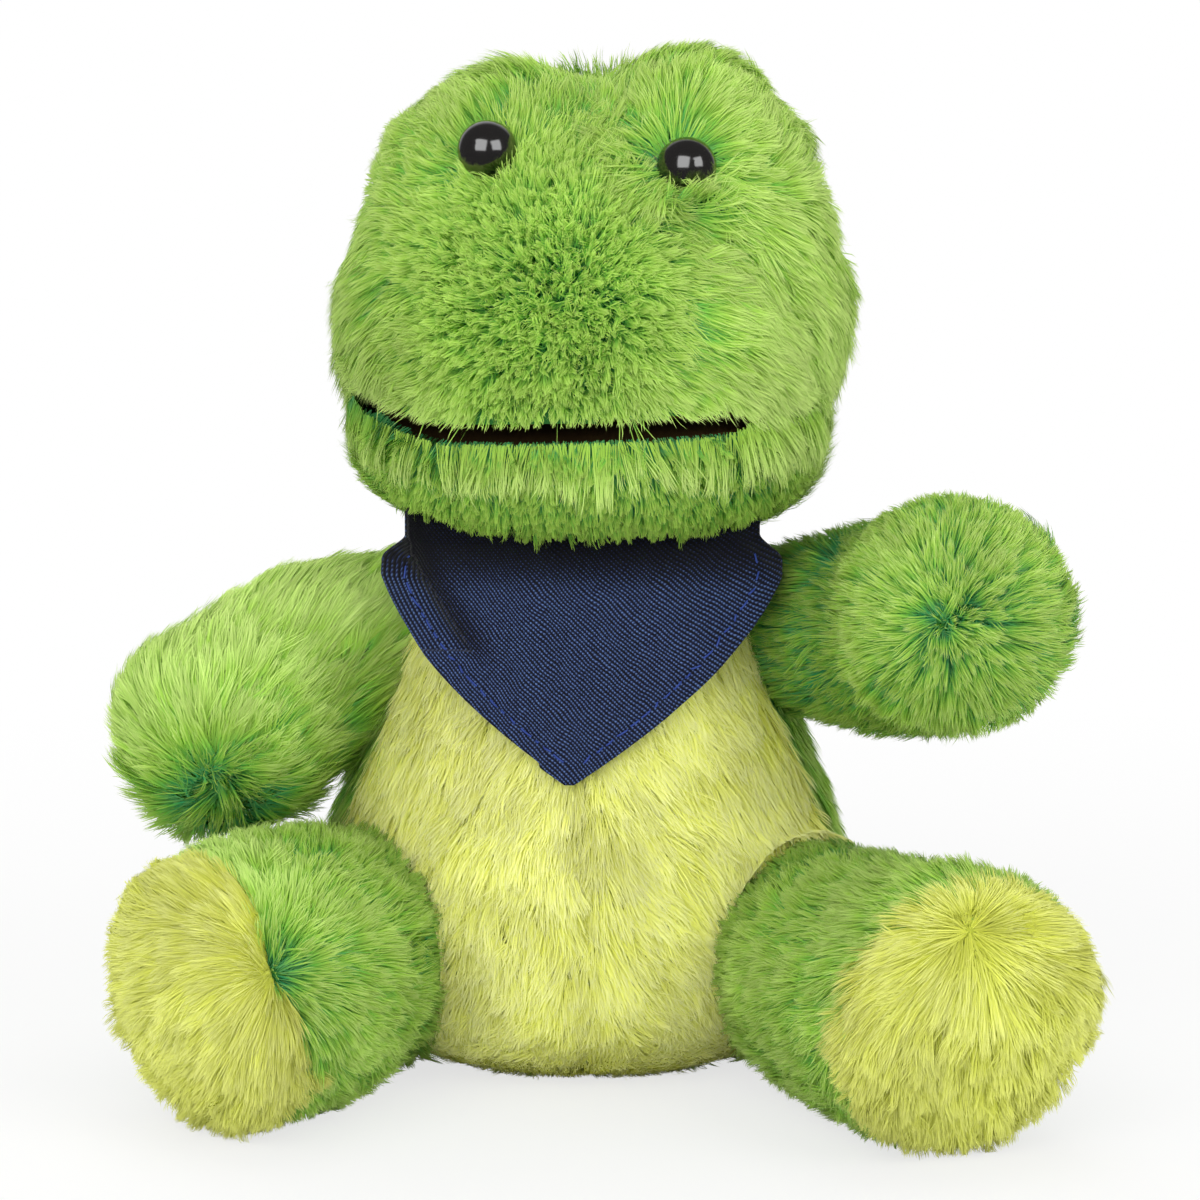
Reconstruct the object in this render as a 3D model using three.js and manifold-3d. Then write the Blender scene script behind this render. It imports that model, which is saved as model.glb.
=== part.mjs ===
// A seated plush frog: fur panels over stuffing, safety eyes, a lined mouth and a tied bandana.
// Millimetres, +Z up, the face towards -Y. The frog's right side is at -X.

import * as THREE from 'three';
import { mergeVertices } from 'three/addons/utils/BufferGeometryUtils.js';
import Module from 'manifold-3d';

const wasm = await Module();
wasm.setup();

// Fur fabric, seams and clearances
const furDepth = 7; // from the inside of the backing to the tips of the lying pile
const seam = 0.3; // between two pieces that are sewn or pressed together
const stuffingGap = 0.5; // between a panel's backing and the stuffing
const swing = 0.6; // between a limb and the hollow that it turns in
const floorCut = 0.5; // how much of a soft form the floor flattens
const swingStep = 16; // degrees between the positions that a hollow is cut for
const ballSides = 14; // round the ball that a limb's root turns in

// How finely the forms are drawn: points round a ring, rings in a rounded end, rings along the middle
const outside = { sides: 16, cap: 4, middle: 3, rings: 11 };
const inside = { sides: 8, cap: 2, middle: 2, rings: 7 };
const extraBodySides = 4; // the torso and head are rounder than the limbs
const bandanaGrid = { columns: 14, rows: 8 };
const tailColumns = 3;
const knotSides = { around: 12, along: 8 };
const curveTension = 0.5;

// Torso, a pear from the floor to the neck
const neckHeight = 113;
const torsoWidth = 113;
const torsoDepth = 94;
const bellySeamY = -14; // the side seams between belly and back

// Head
const headWidth = 109;
const headHeight = 93;
const snoutReach = 59; // from the neck's axis to the front of the muzzle
const headBack = 40; // from the neck's axis to the back of the head
const headTurnedBy = -3; // degrees at rest
const headOffset = 3; // the head sits a little to the frog's left
const mouthHeight = 24; // above the neck
const mouthOpening = 3.4;
const mouthDepth = 44; // how far the slit runs in from the muzzle
const liningLeaf = 0.9;
const liningInset = 2.5; // from the fur's tips to the lining's edge
const browSpread = 40; // between the two brow mounds
const browRadius = 19;
const browLength = 24;
const browDrop = 12.5; // from the top of the skull to the centre of a brow mound
const browForward = 12; // from the neck's axis to the centre of a brow mound
const browUneven = 1; // the left brow sits this much higher, and the right one this much lower

// Eyes
const eyeDiameter = 12;
const eyeDome = 7.2;
const eyeSpread = 41;
const eyeDrop = 13; // from the top of the skull
const eyeUneven = 1.5; // the right eye sits this much higher, and the left one this much lower
const eyeOutward = 0.3; // how far an eye looks to its side and up, per unit forward
const eyeUpward = 0.3;
const eyeSink = 2.6; // how deep the eye's flat back sits in the fur
const shankDiameter = 4;
const shankLength = 15;
const washerDiameter = 14;
const washerThickness = 2.2;
const washerStandOff = 6; // room in the stuffing in front of a washer
const eyeSides = 18;
const eyeRings = 5;
const washerSides = 14;

// Arms
const shoulderDrop = 20.5; // below the neck
const shoulderInset = 18.5; // from the torso's widest side
const shoulderY = 1;
const armRootRadius = 15;
const armMiddleRadius = 21.2;
const pawRadius = 24;
const armBend = 23; // how far an arm's bend lies behind the middle of its paw
const pawFrom = { right: [-35.9, -18, -18], left: [37, -40.6, 9] }; // from each shoulder to its posed paw
const pawFacing = { right: [-0.47, -0.8, -0.36], left: [0.12, -0.93, 0.34] };
const armRange = { right: [0, 40], left: [-30, 10] }; // degrees, positive raises the paw

// Legs
const hipHeight = 27.5;
const hipInset = 10.5; // from the torso's widest side
const hipY = -17;
const legRootRadius = 25.5;
const legMiddleRadius = 29;
const footRadius = 28.9;
const soleBulge = 10;
const soleThickness = 11;
const legBend = 10; // how far a leg's bend lies behind its sole
const footFrom = { right: [-29.3, -52.4], left: [30.3, -71.5] }; // from each hip to its posed foot
const footFacing = { right: [-0.73, -0.68, -0.12], left: [0.42, -0.87, -0.25] };
const legRange = [-8, 8]; // degrees, positive turns the foot outwards

// Bandana
const clothThickness = 1.4;
const clothClearance = 0.4; // from the fur to the cloth
const tipDrop = 47; // from the neck to the bandana's tip
const cornerDrop = 7; // from the neck to its corners
const bandanaWidth = 82.5; // from corner to corner
const bandanaSquareness = 4; // how far the cloth stands out over the shoulders
const bandanaTopShare = 0.88; // its width at the neck, as a share of the width at its corners
const bandanaTipWidth = 3;
const bandanaBulge = 5.5; // how far its sloping edges bow out
const tipShift = -2; // from the middle of the chest to the tip
const shoulderRoom = 1.12; // how much wider than the corners the cloth would reach the side
const bandanaFold = 1.2; // height of the soft folds below the neck
const bandanaFolds = 1.5; // folds in each half of the width
const bandDrop = 0.6; // from the neck to the band round it
const bandHeight = 5.2;
const knotWidth = 16;
const knotHeight = 9;
const knotDepth = 9;
const tailLength = 27;
const tailWidth = 13;
const tailHalves = [0.35, 0.45, 0.5, 0.5, 0.4, 0.2]; // half widths down a tail, as shares of its width
const tailSpread = 9; // from the middle of the knot to the middle of a tail's end
const tailClearance = 1; // from the fur to a tail, which bridges the fur's curve
const tailParting = 0.7; // below one, the tails part quickly under the knot
const tailDrop = 4; // a tail reaches the fur within this fraction of its length

// Colours and how rough each surface is
const green = { color: 0x6fb53a, roughness: 0.95 };
const yellowGreen = { color: 0xcfd957, roughness: 0.95 };
const navy = { color: 0x1c2b57, roughness: 0.9 };
const eyeBlack = { color: 0x0b0908, roughness: 0.06 };
const liningBrown = { color: 0x2b2115, roughness: 0.9 };
const washerWhite = { color: 0xe9e6dc, roughness: 0.5 };
const stuffingWhite = { color: 0xf1efe9, roughness: 1 };

// Heights that follow from these
const shoulderHeight = neckHeight - shoulderDrop;
const bandTop = neckHeight - bandDrop;
const bandanaTipHeight = neckHeight - tipDrop;
const bandanaCornerHeight = neckHeight - cornerDrop;

const up = new THREE.Vector3(0, 0, 1);

function v(x, y, z) {
  return new THREE.Vector3(x, y, z);
}

function radians(degrees) {
  return THREE.MathUtils.degToRad(degrees);
}

// Three.js meshes to solids and back

function solid(geometry) {
  const bare = geometry.clone();
  bare.deleteAttribute('normal');
  bare.deleteAttribute('uv');
  const merged = mergeVertices(bare, 1e-4);
  return new wasm.Manifold(new wasm.Mesh({
    numProp: 3,
    vertProperties: new Float32Array(merged.attributes.position.array),
    triVerts: new Uint32Array(merged.index.array),
  }));
}

function geometryOf(manifold) {
  const mesh = manifold.getMesh();
  const geometry = new THREE.BufferGeometry();
  geometry.setAttribute('position', new THREE.BufferAttribute(mesh.vertProperties, 3));
  geometry.setIndex(new THREE.BufferAttribute(mesh.triVerts, 1));
  geometry.computeVertexNormals();
  return geometry;
}

function piece(name, manifold, finish) {
  const mesh = new THREE.Mesh(geometryOf(manifold), new THREE.MeshStandardMaterial(finish));
  mesh.name = name;
  return mesh;
}

function box(x0, x1, y0, y1, z0, z1) {
  const geometry = new THREE.BoxGeometry(x1 - x0, y1 - y0, z1 - z0);
  geometry.translate((x0 + x1) / 2, (y0 + y1) / 2, (z0 + z1) / 2);
  return solid(geometry);
}

// All of space, for this model, on one side of a plane
function halfSpace(point, normal) {
  const reach = 400;
  const geometry = new THREE.BoxGeometry(reach, reach, reach);
  geometry.translate(0, 0, reach / 2);
  const turn = new THREE.Quaternion().setFromUnitVectors(up, normal.clone().normalize());
  geometry.applyQuaternion(turn);
  geometry.translate(point.x, point.y, point.z);
  return solid(geometry);
}

const aboveFloor = halfSpace(v(0, 0, 0), up);

function turnedAbout(manifold, pivot, axis, degrees) {
  const turn = new THREE.Matrix4().makeRotationAxis(axis, radians(degrees));
  const move = new THREE.Matrix4().makeTranslation(pivot.x, pivot.y, pivot.z);
  const back = new THREE.Matrix4().makeTranslation(-pivot.x, -pivot.y, -pivot.z);
  return manifold.transform(move.multiply(turn).multiply(back).elements);
}

// Soft forms

// One closed form from rings of equal point count, closed by a fan to a tip at each end
function loft(rings, startTip, endTip) {
  const sides = rings[0].length;
  const points = [...rings.flat(), startTip, endTip];
  const first = rings.length * sides;
  const index = [];
  for (let ring = 0; ring < rings.length - 1; ring += 1) {
    for (let side = 0; side < sides; side += 1) {
      const a = ring * sides + side;
      const b = ring * sides + ((side + 1) % sides);
      index.push(a, b, b + sides, a, b + sides, a + sides);
    }
  }
  for (let side = 0; side < sides; side += 1) {
    const next = (side + 1) % sides;
    const last = first - sides;
    index.push(first, next, side);
    index.push(first + 1, last + side, last + next);
  }
  const geometry = new THREE.BufferGeometry();
  geometry.setAttribute('position', new THREE.Float32BufferAttribute(points.flatMap((p) => p.toArray()), 3));
  geometry.setIndex(index);
  return solid(geometry);
}

// The outward direction, along and away from the axis, at each point of a profile of [along, out].
function profileNormals(profile) {
  return profile.map((point, i) => {
    const before = profile[Math.max(i - 1, 0)];
    const after = profile[Math.min(i + 1, profile.length - 1)];
    const along = after[0] - before[0];
    const out = after[1] - before[1];
    const length = Math.hypot(along, out);
    return [-out / length, along / length];
  });
}

// Rings up a body whose stations are [height, half width, front, back, squareness].
function bodyForm(stations, detail, grow) {
  const sides = detail.sides + extraBodySides;
  const fronts = stations.map(([height, width, front]) => v(height, width, front));
  const backs = stations.map(([, , , back, squareness]) => v(0, back, squareness));
  const curve = new THREE.CatmullRomCurve3(fronts, false, 'catmullrom', curveTension);
  const rest = new THREE.CatmullRomCurve3(backs, false, 'catmullrom', curveTension);
  const rows = [];
  for (let ring = 0; ring < detail.rings; ring += 1) {
    const t = ring / (detail.rings - 1);
    const first = curve.getPoint(t);
    const second = rest.getPoint(t);
    rows.push({ height: first.x, width: first.y, front: first.z, back: second.y, square: second.z });
  }
  const normals = profileNormals(rows.map((row) => [row.height, row.width]));
  normals[0] = [-1, 1];
  normals[rows.length - 1] = [1, 1];
  const rings = rows.map((row, i) => {
    const [along, out] = normals[i];
    const width = row.width + grow * out;
    const front = row.front + grow * out;
    const back = row.back + grow * out;
    const points = [];
    for (let side = 0; side < sides; side += 1) {
      const angle = (2 * Math.PI * side) / sides;
      const power = 2 / row.square;
      const x = Math.sign(Math.cos(angle)) * Math.abs(Math.cos(angle)) ** power;
      const y = Math.sign(Math.sin(angle)) * Math.abs(Math.sin(angle)) ** power;
      points.push(v(width * x, (y < 0 ? front : back) * y, row.height + grow * along));
    }
    return points;
  });
  const tips = [rings[0], rings[rings.length - 1]].map((ring) => v(0, 0, ring[0].z));
  return loft(rings, ...tips);
}

// Rings along a curved limb: a ball at the root, if it is wanted, a swelling middle and a round end
function limbForm({ curve, radii, endRound }, detail, grow, withBall = true) {
  const length = curve.getLength();
  const rootRadius = radii[0] + grow;
  const endRadius = radii[radii.length - 1] + grow;
  const endDepth = endRound + grow;
  const stations = radii.map((radius, i) => v((length * i) / (radii.length - 1), radius + grow, 0));
  const swell = new THREE.CatmullRomCurve3(stations, false, 'catmullrom', curveTension);
  const profile = [];
  for (let i = 1; withBall && i < detail.cap; i += 1) {
    const angle = ((Math.PI / 2) * i) / detail.cap;
    profile.push([-rootRadius * Math.cos(angle), rootRadius * Math.sin(angle)]);
  }
  for (let i = 0; i <= detail.middle; i += 1) {
    const point = swell.getPoint(i / detail.middle);
    profile.push([point.x, point.y]);
  }
  for (let i = 1; i < detail.cap; i += 1) {
    const angle = ((Math.PI / 2) * i) / detail.cap;
    profile.push([length + endDepth * Math.sin(angle), endRadius * Math.cos(angle)]);
  }
  const rings = profile.map(([along, out]) => ringAt(curve, along, out, detail.sides));
  const root = pointOn(curve, withBall ? -rootRadius : 0);
  return loft(rings, root, pointOn(curve, length + endDepth));
}

// The point at a distance along a curve, which may lie past either end
function pointOn(curve, along) {
  const length = curve.getLength();
  const share = THREE.MathUtils.clamp(along / length, 0, 1);
  return curve.getPointAt(share).addScaledVector(curve.getTangentAt(share), along - share * length);
}

// A ring square to a curve at a distance along it
function ringAt(curve, along, radius, sides) {
  const share = THREE.MathUtils.clamp(along / curve.getLength(), 0, 1);
  const tangent = curve.getTangentAt(share);
  const across = v(0, 0, 0).crossVectors(up, tangent).normalize();
  const lift = v(0, 0, 0).crossVectors(tangent, across);
  const points = [];
  for (let side = 0; side < sides; side += 1) {
    const angle = (2 * Math.PI * side) / sides;
    points.push(pointOn(curve, along)
      .addScaledVector(across, radius * Math.cos(angle))
      .addScaledVector(lift, radius * Math.sin(angle)));
  }
  return points;
}

// Torso

function torsoForm(detail, grow) {
  const width = torsoWidth / 2;
  const flatness = torsoDepth / torsoWidth;
  const stations = [
    [-floorCut, 0.52 * width],
    [0.05 * neckHeight, 0.78 * width],
    [0.14 * neckHeight, 0.94 * width],
    [0.28 * neckHeight, width],
    [0.42 * neckHeight, 0.97 * width],
    [0.56 * neckHeight, 0.88 * width],
    [0.7 * neckHeight, 0.77 * width],
    [0.84 * neckHeight, 0.68 * width],
    [0.94 * neckHeight, 0.58 * width],
    [neckHeight, 0.46 * width],
  ].map(([height, half]) => [height, half, flatness * half, flatness * half, 2]);
  return bodyForm(stations, detail, grow);
}

// Head, drawn about its neck with the face to -Y

function headForm(detail, grow) {
  const width = headWidth / 2;
  const stations = [
    [0, 0.6, 0.5, 0.42, 2.2],
    [0.05, 0.76, 0.72, 0.6, 2.3],
    [0.15, 0.9, 0.87, 0.8, 2.4],
    [0.3, 0.98, 0.96, 0.92, 2.4],
    [0.48, 1, 1, 1, 2.3],
    [0.66, 0.945, 0.95, 1, 2.2],
    [0.82, 0.855, 0.8, 0.92, 2.2],
    [0.93, 0.74, 0.6, 0.72, 2.1],
    [1, 0.42, 0.32, 0.4, 2],
  ].map(([height, wide, front, back, square]) =>
    [height * headHeight, wide * width, front * snoutReach, back * headBack, square]);
  const skull = bodyForm(stations, detail, grow);
  return skull.add(browForm(-1, detail, grow)).add(browForm(1, detail, grow));
}

function browForm(side, detail, grow) {
  const geometry = new THREE.SphereGeometry(1, detail.sides, detail.rings);
  geometry.rotateX(Math.PI / 2);
  geometry.scale(browRadius + grow, browLength + grow, browRadius + grow);
  geometry.translate((side * browSpread) / 2, -browForward, headHeight - browDrop + side * browUneven);
  return solid(geometry);
}

// The mouth is a level slit that runs in from the muzzle.
function mouthSlab(opening, depth) {
  return box(-headWidth, headWidth, -2 * snoutReach, depth - snoutReach,
    mouthHeight - opening / 2, mouthHeight + opening / 2);
}

// Two leaves of felt that are folded together at the back of the slit
function mouthLining() {
  const slab = mouthSlab(mouthOpening - 2 * seam, mouthDepth - seam);
  const between = mouthSlab(mouthOpening - 2 * seam - 2 * liningLeaf, mouthDepth - 3 * liningLeaf);
  return slab.subtract(between).intersect(headForm(outside, -liningInset));
}

// A dome with a flat back, and the shank behind it that goes through the fabric
function eyeSolid(grow) {
  const shank = shankDiameter / 2 + grow;
  const profile = [
    new THREE.Vector2(0, -shankLength - grow),
    new THREE.Vector2(shank, -shankLength - grow),
    new THREE.Vector2(shank, -grow),
  ];
  for (let i = 0; i < eyeRings; i += 1) {
    const angle = ((Math.PI / 2) * i) / eyeRings;
    const base = i === 0 ? -grow : 0;
    profile.push(new THREE.Vector2(
      (eyeDiameter / 2 + grow) * Math.cos(angle), (eyeDome + grow) * Math.sin(angle) + base));
  }
  profile.push(new THREE.Vector2(0, eyeDome + grow));
  return solid(new THREE.LatheGeometry(profile, eyeSides).rotateX(Math.PI / 2));
}

// The locking washer on the shank, against the inside of the fabric
function washerSolid() {
  const inner = shankDiameter / 2 + seam;
  const outer = washerDiameter / 2;
  const front = eyeSink - furDepth - seam;
  const back = front - washerThickness;
  const profile = [
    new THREE.Vector2(inner, back),
    new THREE.Vector2(outer, back),
    new THREE.Vector2(outer, front),
    new THREE.Vector2(inner, front),
    new THREE.Vector2(inner, back),
  ];
  return solid(new THREE.LatheGeometry(profile, washerSides).rotateX(Math.PI / 2));
}

// The room round a washer, which goes on past its front by some distance
function washerRoom(past) {
  const radius = washerDiameter / 2 + seam;
  const height = washerThickness + seam + past;
  const geometry = new THREE.CylinderGeometry(radius, radius, height, washerSides);
  geometry.rotateX(Math.PI / 2);
  geometry.translate(0, 0, eyeSink - furDepth - seam + past - height / 2);
  return solid(geometry);
}

// The outermost point of a form on a ray
function surfacePoint(form, from, direction) {
  const mesh = new THREE.Mesh(form, new THREE.MeshStandardMaterial({ side: THREE.DoubleSide }));
  const [hit] = new THREE.Raycaster(from, direction).intersectObject(mesh).slice(-1);
  return hit.point;
}

// Places a solid drawn about the eye's flat back, with its dome to +Z, on one side of the face.
function onFace(manifold, side, skull) {
  const outward = v(side * eyeOutward, -1, eyeUpward).normalize();
  const height = headHeight - eyeDrop - side * eyeUneven;
  const surface = surfacePoint(skull, v((side * eyeSpread) / 2, 0, height), v(0, -1, 0));
  const seat = surface.addScaledVector(outward, -eyeSink);
  const turn = new THREE.Quaternion().setFromUnitVectors(up, outward);
  return manifold.transform(new THREE.Matrix4().compose(seat, turn, v(1, 1, 1)).elements);
}

function headPieces() {
  const form = headForm(outside, 0);
  const slot = mouthSlab(mouthOpening, mouthDepth);
  const face = geometryOf(form);
  const eyes = [-1, 1].map((side) => onFace(eyeSolid(0), side, face));
  const sockets = [-1, 1].map((side) => onFace(eyeSolid(seam), side, face));
  const washers = [-1, 1].map((side) => onFace(washerSolid(), side, face));
  const pockets = [-1, 1].map((side) => onFace(washerRoom(seam), side, face));
  const rooms = [-1, 1].map((side) => onFace(washerRoom(washerStandOff), side, face));
  let fur = form.subtract(headForm(inside, -furDepth)).subtract(slot);
  let stuffing = headForm(inside, -furDepth - stuffingGap).subtract(slot);
  for (const socket of sockets) {
    fur = fur.subtract(socket);
    stuffing = stuffing.subtract(socket);
  }
  for (const pocket of pockets) {
    fur = fur.subtract(pocket);
  }
  for (const room of rooms) {
    stuffing = stuffing.subtract(room);
  }
  const jawBack = mouthDepth - snoutReach;
  const jawBlock = box(-headWidth, headWidth, -2 * snoutReach, jawBack, -headHeight, mouthHeight);
  const aroundJaw = box(-headWidth, headWidth, -2 * snoutReach, jawBack + seam,
    -headHeight, mouthHeight + seam);
  const upper = fur.subtract(aroundJaw);
  return [
    piece('head_panel_right', upper.intersect(halfSpace(v(-seam / 2, 0, 0), v(-1, 0, 0))), green),
    piece('head_panel_left', upper.intersect(halfSpace(v(seam / 2, 0, 0), v(1, 0, 0))), green),
    piece('jaw_panel', fur.intersect(jawBlock), green),
    piece('mouth_lining', mouthLining(), liningBrown),
    piece('head_stuffing', stuffing, stuffingWhite),
    piece('eye_right', eyes[0], eyeBlack),
    piece('eye_left', eyes[1], eyeBlack),
    piece('eye_washer_right', washers[0], washerWhite),
    piece('eye_washer_left', washers[1], washerWhite),
  ];
}

function head() {
  const group = new THREE.Group();
  group.add(...headPieces());
  group.position.set(headOffset, 0, neckHeight + seam);
  group.rotation.z = radians(headTurnedBy);
  return group;
}

// Limbs. Each has a pivot at the centre of its root ball.

const shoulders = {
  right: v(shoulderInset - torsoWidth / 2, shoulderY, shoulderHeight),
  left: v(torsoWidth / 2 - shoulderInset, shoulderY, shoulderHeight),
};
const hips = {
  right: v(hipInset - torsoWidth / 2, hipY, hipHeight),
  left: v(torsoWidth / 2 - hipInset, hipY, hipHeight),
};

// A curve from the pivot to the middle of the paw or sole, which it meets facing a given way
function limbCurve(pivot, end, facing, bend) {
  const middle = end.clone().addScaledVector(facing.clone().normalize(), -bend);
  return new THREE.QuadraticBezierCurve3(pivot, middle, end);
}

function armAt(side) {
  const end = shoulders[side].clone().add(v(...pawFrom[side]));
  return {
    curve: limbCurve(shoulders[side], end, v(...pawFacing[side]), armBend),
    radii: [armRootRadius, armMiddleRadius, pawRadius],
    endRound: pawRadius,
  };
}

function legAt(side) {
  const end = hips[side].clone().add(v(...footFrom[side], 0));
  end.z = footRadius - floorCut;
  return {
    curve: limbCurve(hips[side], end, v(...footFacing[side]), legBend),
    radii: [legRootRadius, legMiddleRadius, footRadius],
    endRound: soleBulge,
  };
}

const arms = { right: armAt('right'), left: armAt('left') };
const legs = { right: legAt('right'), left: legAt('left') };

// The hollow that a limb turns in: a ball round its pivot, and the limb itself all through its range.
// The ball's flat faces clear the limb, so its corners lie a little further out.
function sweptHollow(limb, pivot, axis, [from, to]) {
  const radius = (limb.radii[0] + swing) / Math.cos(Math.PI / ballSides) ** 2;
  const ball = new THREE.SphereGeometry(radius, ballSides, ballSides / 2);
  ball.translate(pivot.x, pivot.y, pivot.z);
  const larger = limbForm(limb, outside, swing, false);
  const steps = Math.max(1, Math.ceil((to - from) / swingStep));
  let hollow = solid(ball);
  for (let i = 0; i <= steps; i += 1) {
    hollow = hollow.add(turnedAbout(larger, pivot, axis, from + ((to - from) * i) / steps));
  }
  return hollow;
}

function armPieces(side) {
  const arm = arms[side];
  const fur = limbForm(arm, outside, 0).subtract(limbForm(arm, inside, -furDepth));
  const chord = arm.curve.getPoint(1).sub(arm.curve.getPoint(0)).normalize();
  const across = v(0, 0, 0).crossVectors(chord, up).normalize();
  const lift = v(0, 0, 0).crossVectors(across, chord).normalize();
  const above = arm.curve.getPoint(0).addScaledVector(lift, seam / 2);
  const below = arm.curve.getPoint(0).addScaledVector(lift, -seam / 2);
  return [
    piece(`${side}_arm_upper_panel`, fur.intersect(halfSpace(above, lift)), green),
    piece(`${side}_arm_lower_panel`, fur.intersect(halfSpace(below, lift.clone().negate())), green),
    piece(`${side}_arm_stuffing`, limbForm(arm, inside, -furDepth - stuffingGap), stuffingWhite),
  ];
}

function legPieces(side) {
  const leg = legs[side];
  const form = limbForm(leg, outside, 0).intersect(aboveFloor);
  const fur = form.subtract(limbForm(leg, inside, -furDepth));
  const start = leg.curve.getPoint(0);
  const end = leg.curve.getPoint(1);
  const facing = leg.curve.getTangent(1);
  const edge = end.clone().addScaledVector(facing, soleBulge - soleThickness);
  const inward = v(0, 0, 0).crossVectors(end.clone().sub(start), up).normalize();
  if (side === 'right') {
    inward.negate();
  }
  const behindSole = halfSpace(edge.clone().addScaledVector(facing, -seam), facing.clone().negate());
  const inner = start.clone().addScaledVector(inward, seam / 2);
  const outer = start.clone().addScaledVector(inward, -seam / 2);
  const sides = fur.intersect(behindSole);
  return [
    piece(`${side}_leg_inner_panel`, sides.intersect(halfSpace(inner, inward)), green),
    piece(`${side}_leg_outer_panel`, sides.intersect(halfSpace(outer, inward.clone().negate())), green),
    piece(`${side}_foot_sole`, fur.intersect(halfSpace(edge, facing)), yellowGreen),
    piece(`${side}_leg_stuffing`, limbForm(leg, inside, -furDepth - stuffingGap), stuffingWhite),
  ];
}

// Torso panels and stuffing, hollowed where the limbs turn

function torsoPieces() {
  const hollows = [
    sweptHollow(arms.right, shoulders.right, v(0, 1, 0), armRange.right),
    sweptHollow(arms.left, shoulders.left, v(0, -1, 0), armRange.left),
    sweptHollow(legs.right, hips.right, v(0, 0, -1), legRange),
    sweptHollow(legs.left, hips.left, v(0, 0, 1), legRange),
  ];
  let fur = torsoForm(outside, 0).intersect(aboveFloor).subtract(torsoForm(inside, -furDepth));
  let stuffing = torsoForm(inside, -furDepth - stuffingGap);
  for (const hollow of hollows) {
    fur = fur.subtract(hollow);
    stuffing = stuffing.subtract(hollow);
  }
  const belly = fur.intersect(halfSpace(v(0, bellySeamY - seam / 2, 0), v(0, -1, 0)));
  const back = fur.intersect(halfSpace(v(0, bellySeamY + seam / 2, 0), v(0, 1, 0)));
  return [
    piece('belly_panel_right', belly.intersect(halfSpace(v(-seam / 2, 0, 0), v(-1, 0, 0))), yellowGreen),
    piece('belly_panel_left', belly.intersect(halfSpace(v(seam / 2, 0, 0), v(1, 0, 0))), yellowGreen),
    piece('back_panel', back, green),
    piece('torso_stuffing', stuffing, stuffingWhite),
  ];
}

// Bandana: a triangle over the chest, a band round the neck, and a knot with two tails behind

// A closed sheet from a function of how far across it, how far down it, and inner or outer side.
function sheet(columns, rows, pointAt) {
  const positions = [];
  const index = [];
  const stride = columns + 1;
  const layer = stride * (rows + 1);
  for (const outer of [0, 1]) {
    for (let row = 0; row <= rows; row += 1) {
      for (let column = 0; column <= columns; column += 1) {
        const p = pointAt((2 * column) / columns - 1, row / rows, outer);
        positions.push(p.x, p.y, p.z);
      }
    }
  }
  const quad = (a, b, c, d) => index.push(a, b, c, a, c, d);
  for (let row = 0; row < rows; row += 1) {
    for (let column = 0; column < columns; column += 1) {
      const a = row * stride + column;
      quad(a, a + stride, a + stride + 1, a + 1);
      quad(layer + a, layer + a + 1, layer + a + stride + 1, layer + a + stride);
    }
  }
  const rim = [];
  for (let column = 0; column < columns; column += 1) {
    rim.push(column);
  }
  for (let row = 0; row < rows; row += 1) {
    rim.push(row * stride + columns);
  }
  for (let column = columns; column > 0; column -= 1) {
    rim.push(rows * stride + column);
  }
  for (let row = rows; row > 0; row -= 1) {
    rim.push(row * stride);
  }
  rim.forEach((a, i) => {
    const b = rim[(i + 1) % rim.length];
    quad(a, b, layer + b, layer + a);
  });
  const geometry = new THREE.BufferGeometry();
  geometry.setAttribute('position', new THREE.Float32BufferAttribute(positions, 3));
  geometry.setIndex(index);
  return solid(geometry);
}

function bandanaTriangle(torso) {
  const cornerHalf = bandanaWidth / 2;
  const cornerShare = (bandTop - bandanaCornerHeight) / (bandTop - bandanaTipHeight);
  const reach = shoulderRoom * cornerHalf;
  return sheet(bandanaGrid.columns, bandanaGrid.rows, (u, down, outer) => {
    const height = THREE.MathUtils.lerp(bandTop, bandanaTipHeight, down);
    const below = (down - cornerShare) / (1 - cornerShare);
    const bow = 4 * bandanaBulge * below * (1 - below);
    const half = below < 0
      ? THREE.MathUtils.lerp(bandanaTopShare * cornerHalf, cornerHalf, down / cornerShare)
      : THREE.MathUtils.lerp(cornerHalf, bandanaTipWidth / 2, below) + bow;
    const across = Math.max(below, 0) * tipShift - u * half;
    const chest = -surfacePoint(torso, v(0, 0, height), v(0, -1, 0)).y + clothClearance;
    const wrap = (1 - Math.abs(across / reach) ** bandanaSquareness) ** (1 / bandanaSquareness);
    const fold = bandanaFold * Math.sin(bandanaFolds * Math.PI * u) ** 2 * (1 - down);
    return v(across, -chest * wrap - fold - outer * clothThickness, height);
  });
}

function neckBand() {
  const ring = torsoForm(outside, clothClearance + clothThickness)
    .subtract(torsoForm(outside, clothClearance));
  const reach = torsoWidth;
  return ring.intersect(box(-reach, reach, -reach, reach, bandTop - bandHeight, bandTop));
}

function knotCentreY(torso) {
  const neck = surfacePoint(torso, v(0, 0, bandTop - bandHeight), v(0, 1, 0)).y;
  return neck + clothClearance + clothThickness + seam + knotDepth / 2;
}

function bandanaTail(side, torso) {
  const top = bandTop - bandHeight - seam;
  const knotY = knotCentreY(torso);
  const rows = tailHalves.length - 1;
  return sheet(tailColumns, rows, (u, down, outer) => {
    const height = top - down * tailLength;
    const half = tailHalves[Math.round(down * rows)] * tailWidth;
    const across = side * tailSpread * down ** tailParting + u * half;
    const fur = surfacePoint(torso, v(across, 0, height), v(0, 1, 0)).y + tailClearance;
    const y = THREE.MathUtils.lerp(fur, knotY, Math.max(0, 1 - tailDrop * down) ** 2);
    return v(across, y + outer * clothThickness, height);
  });
}

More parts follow.
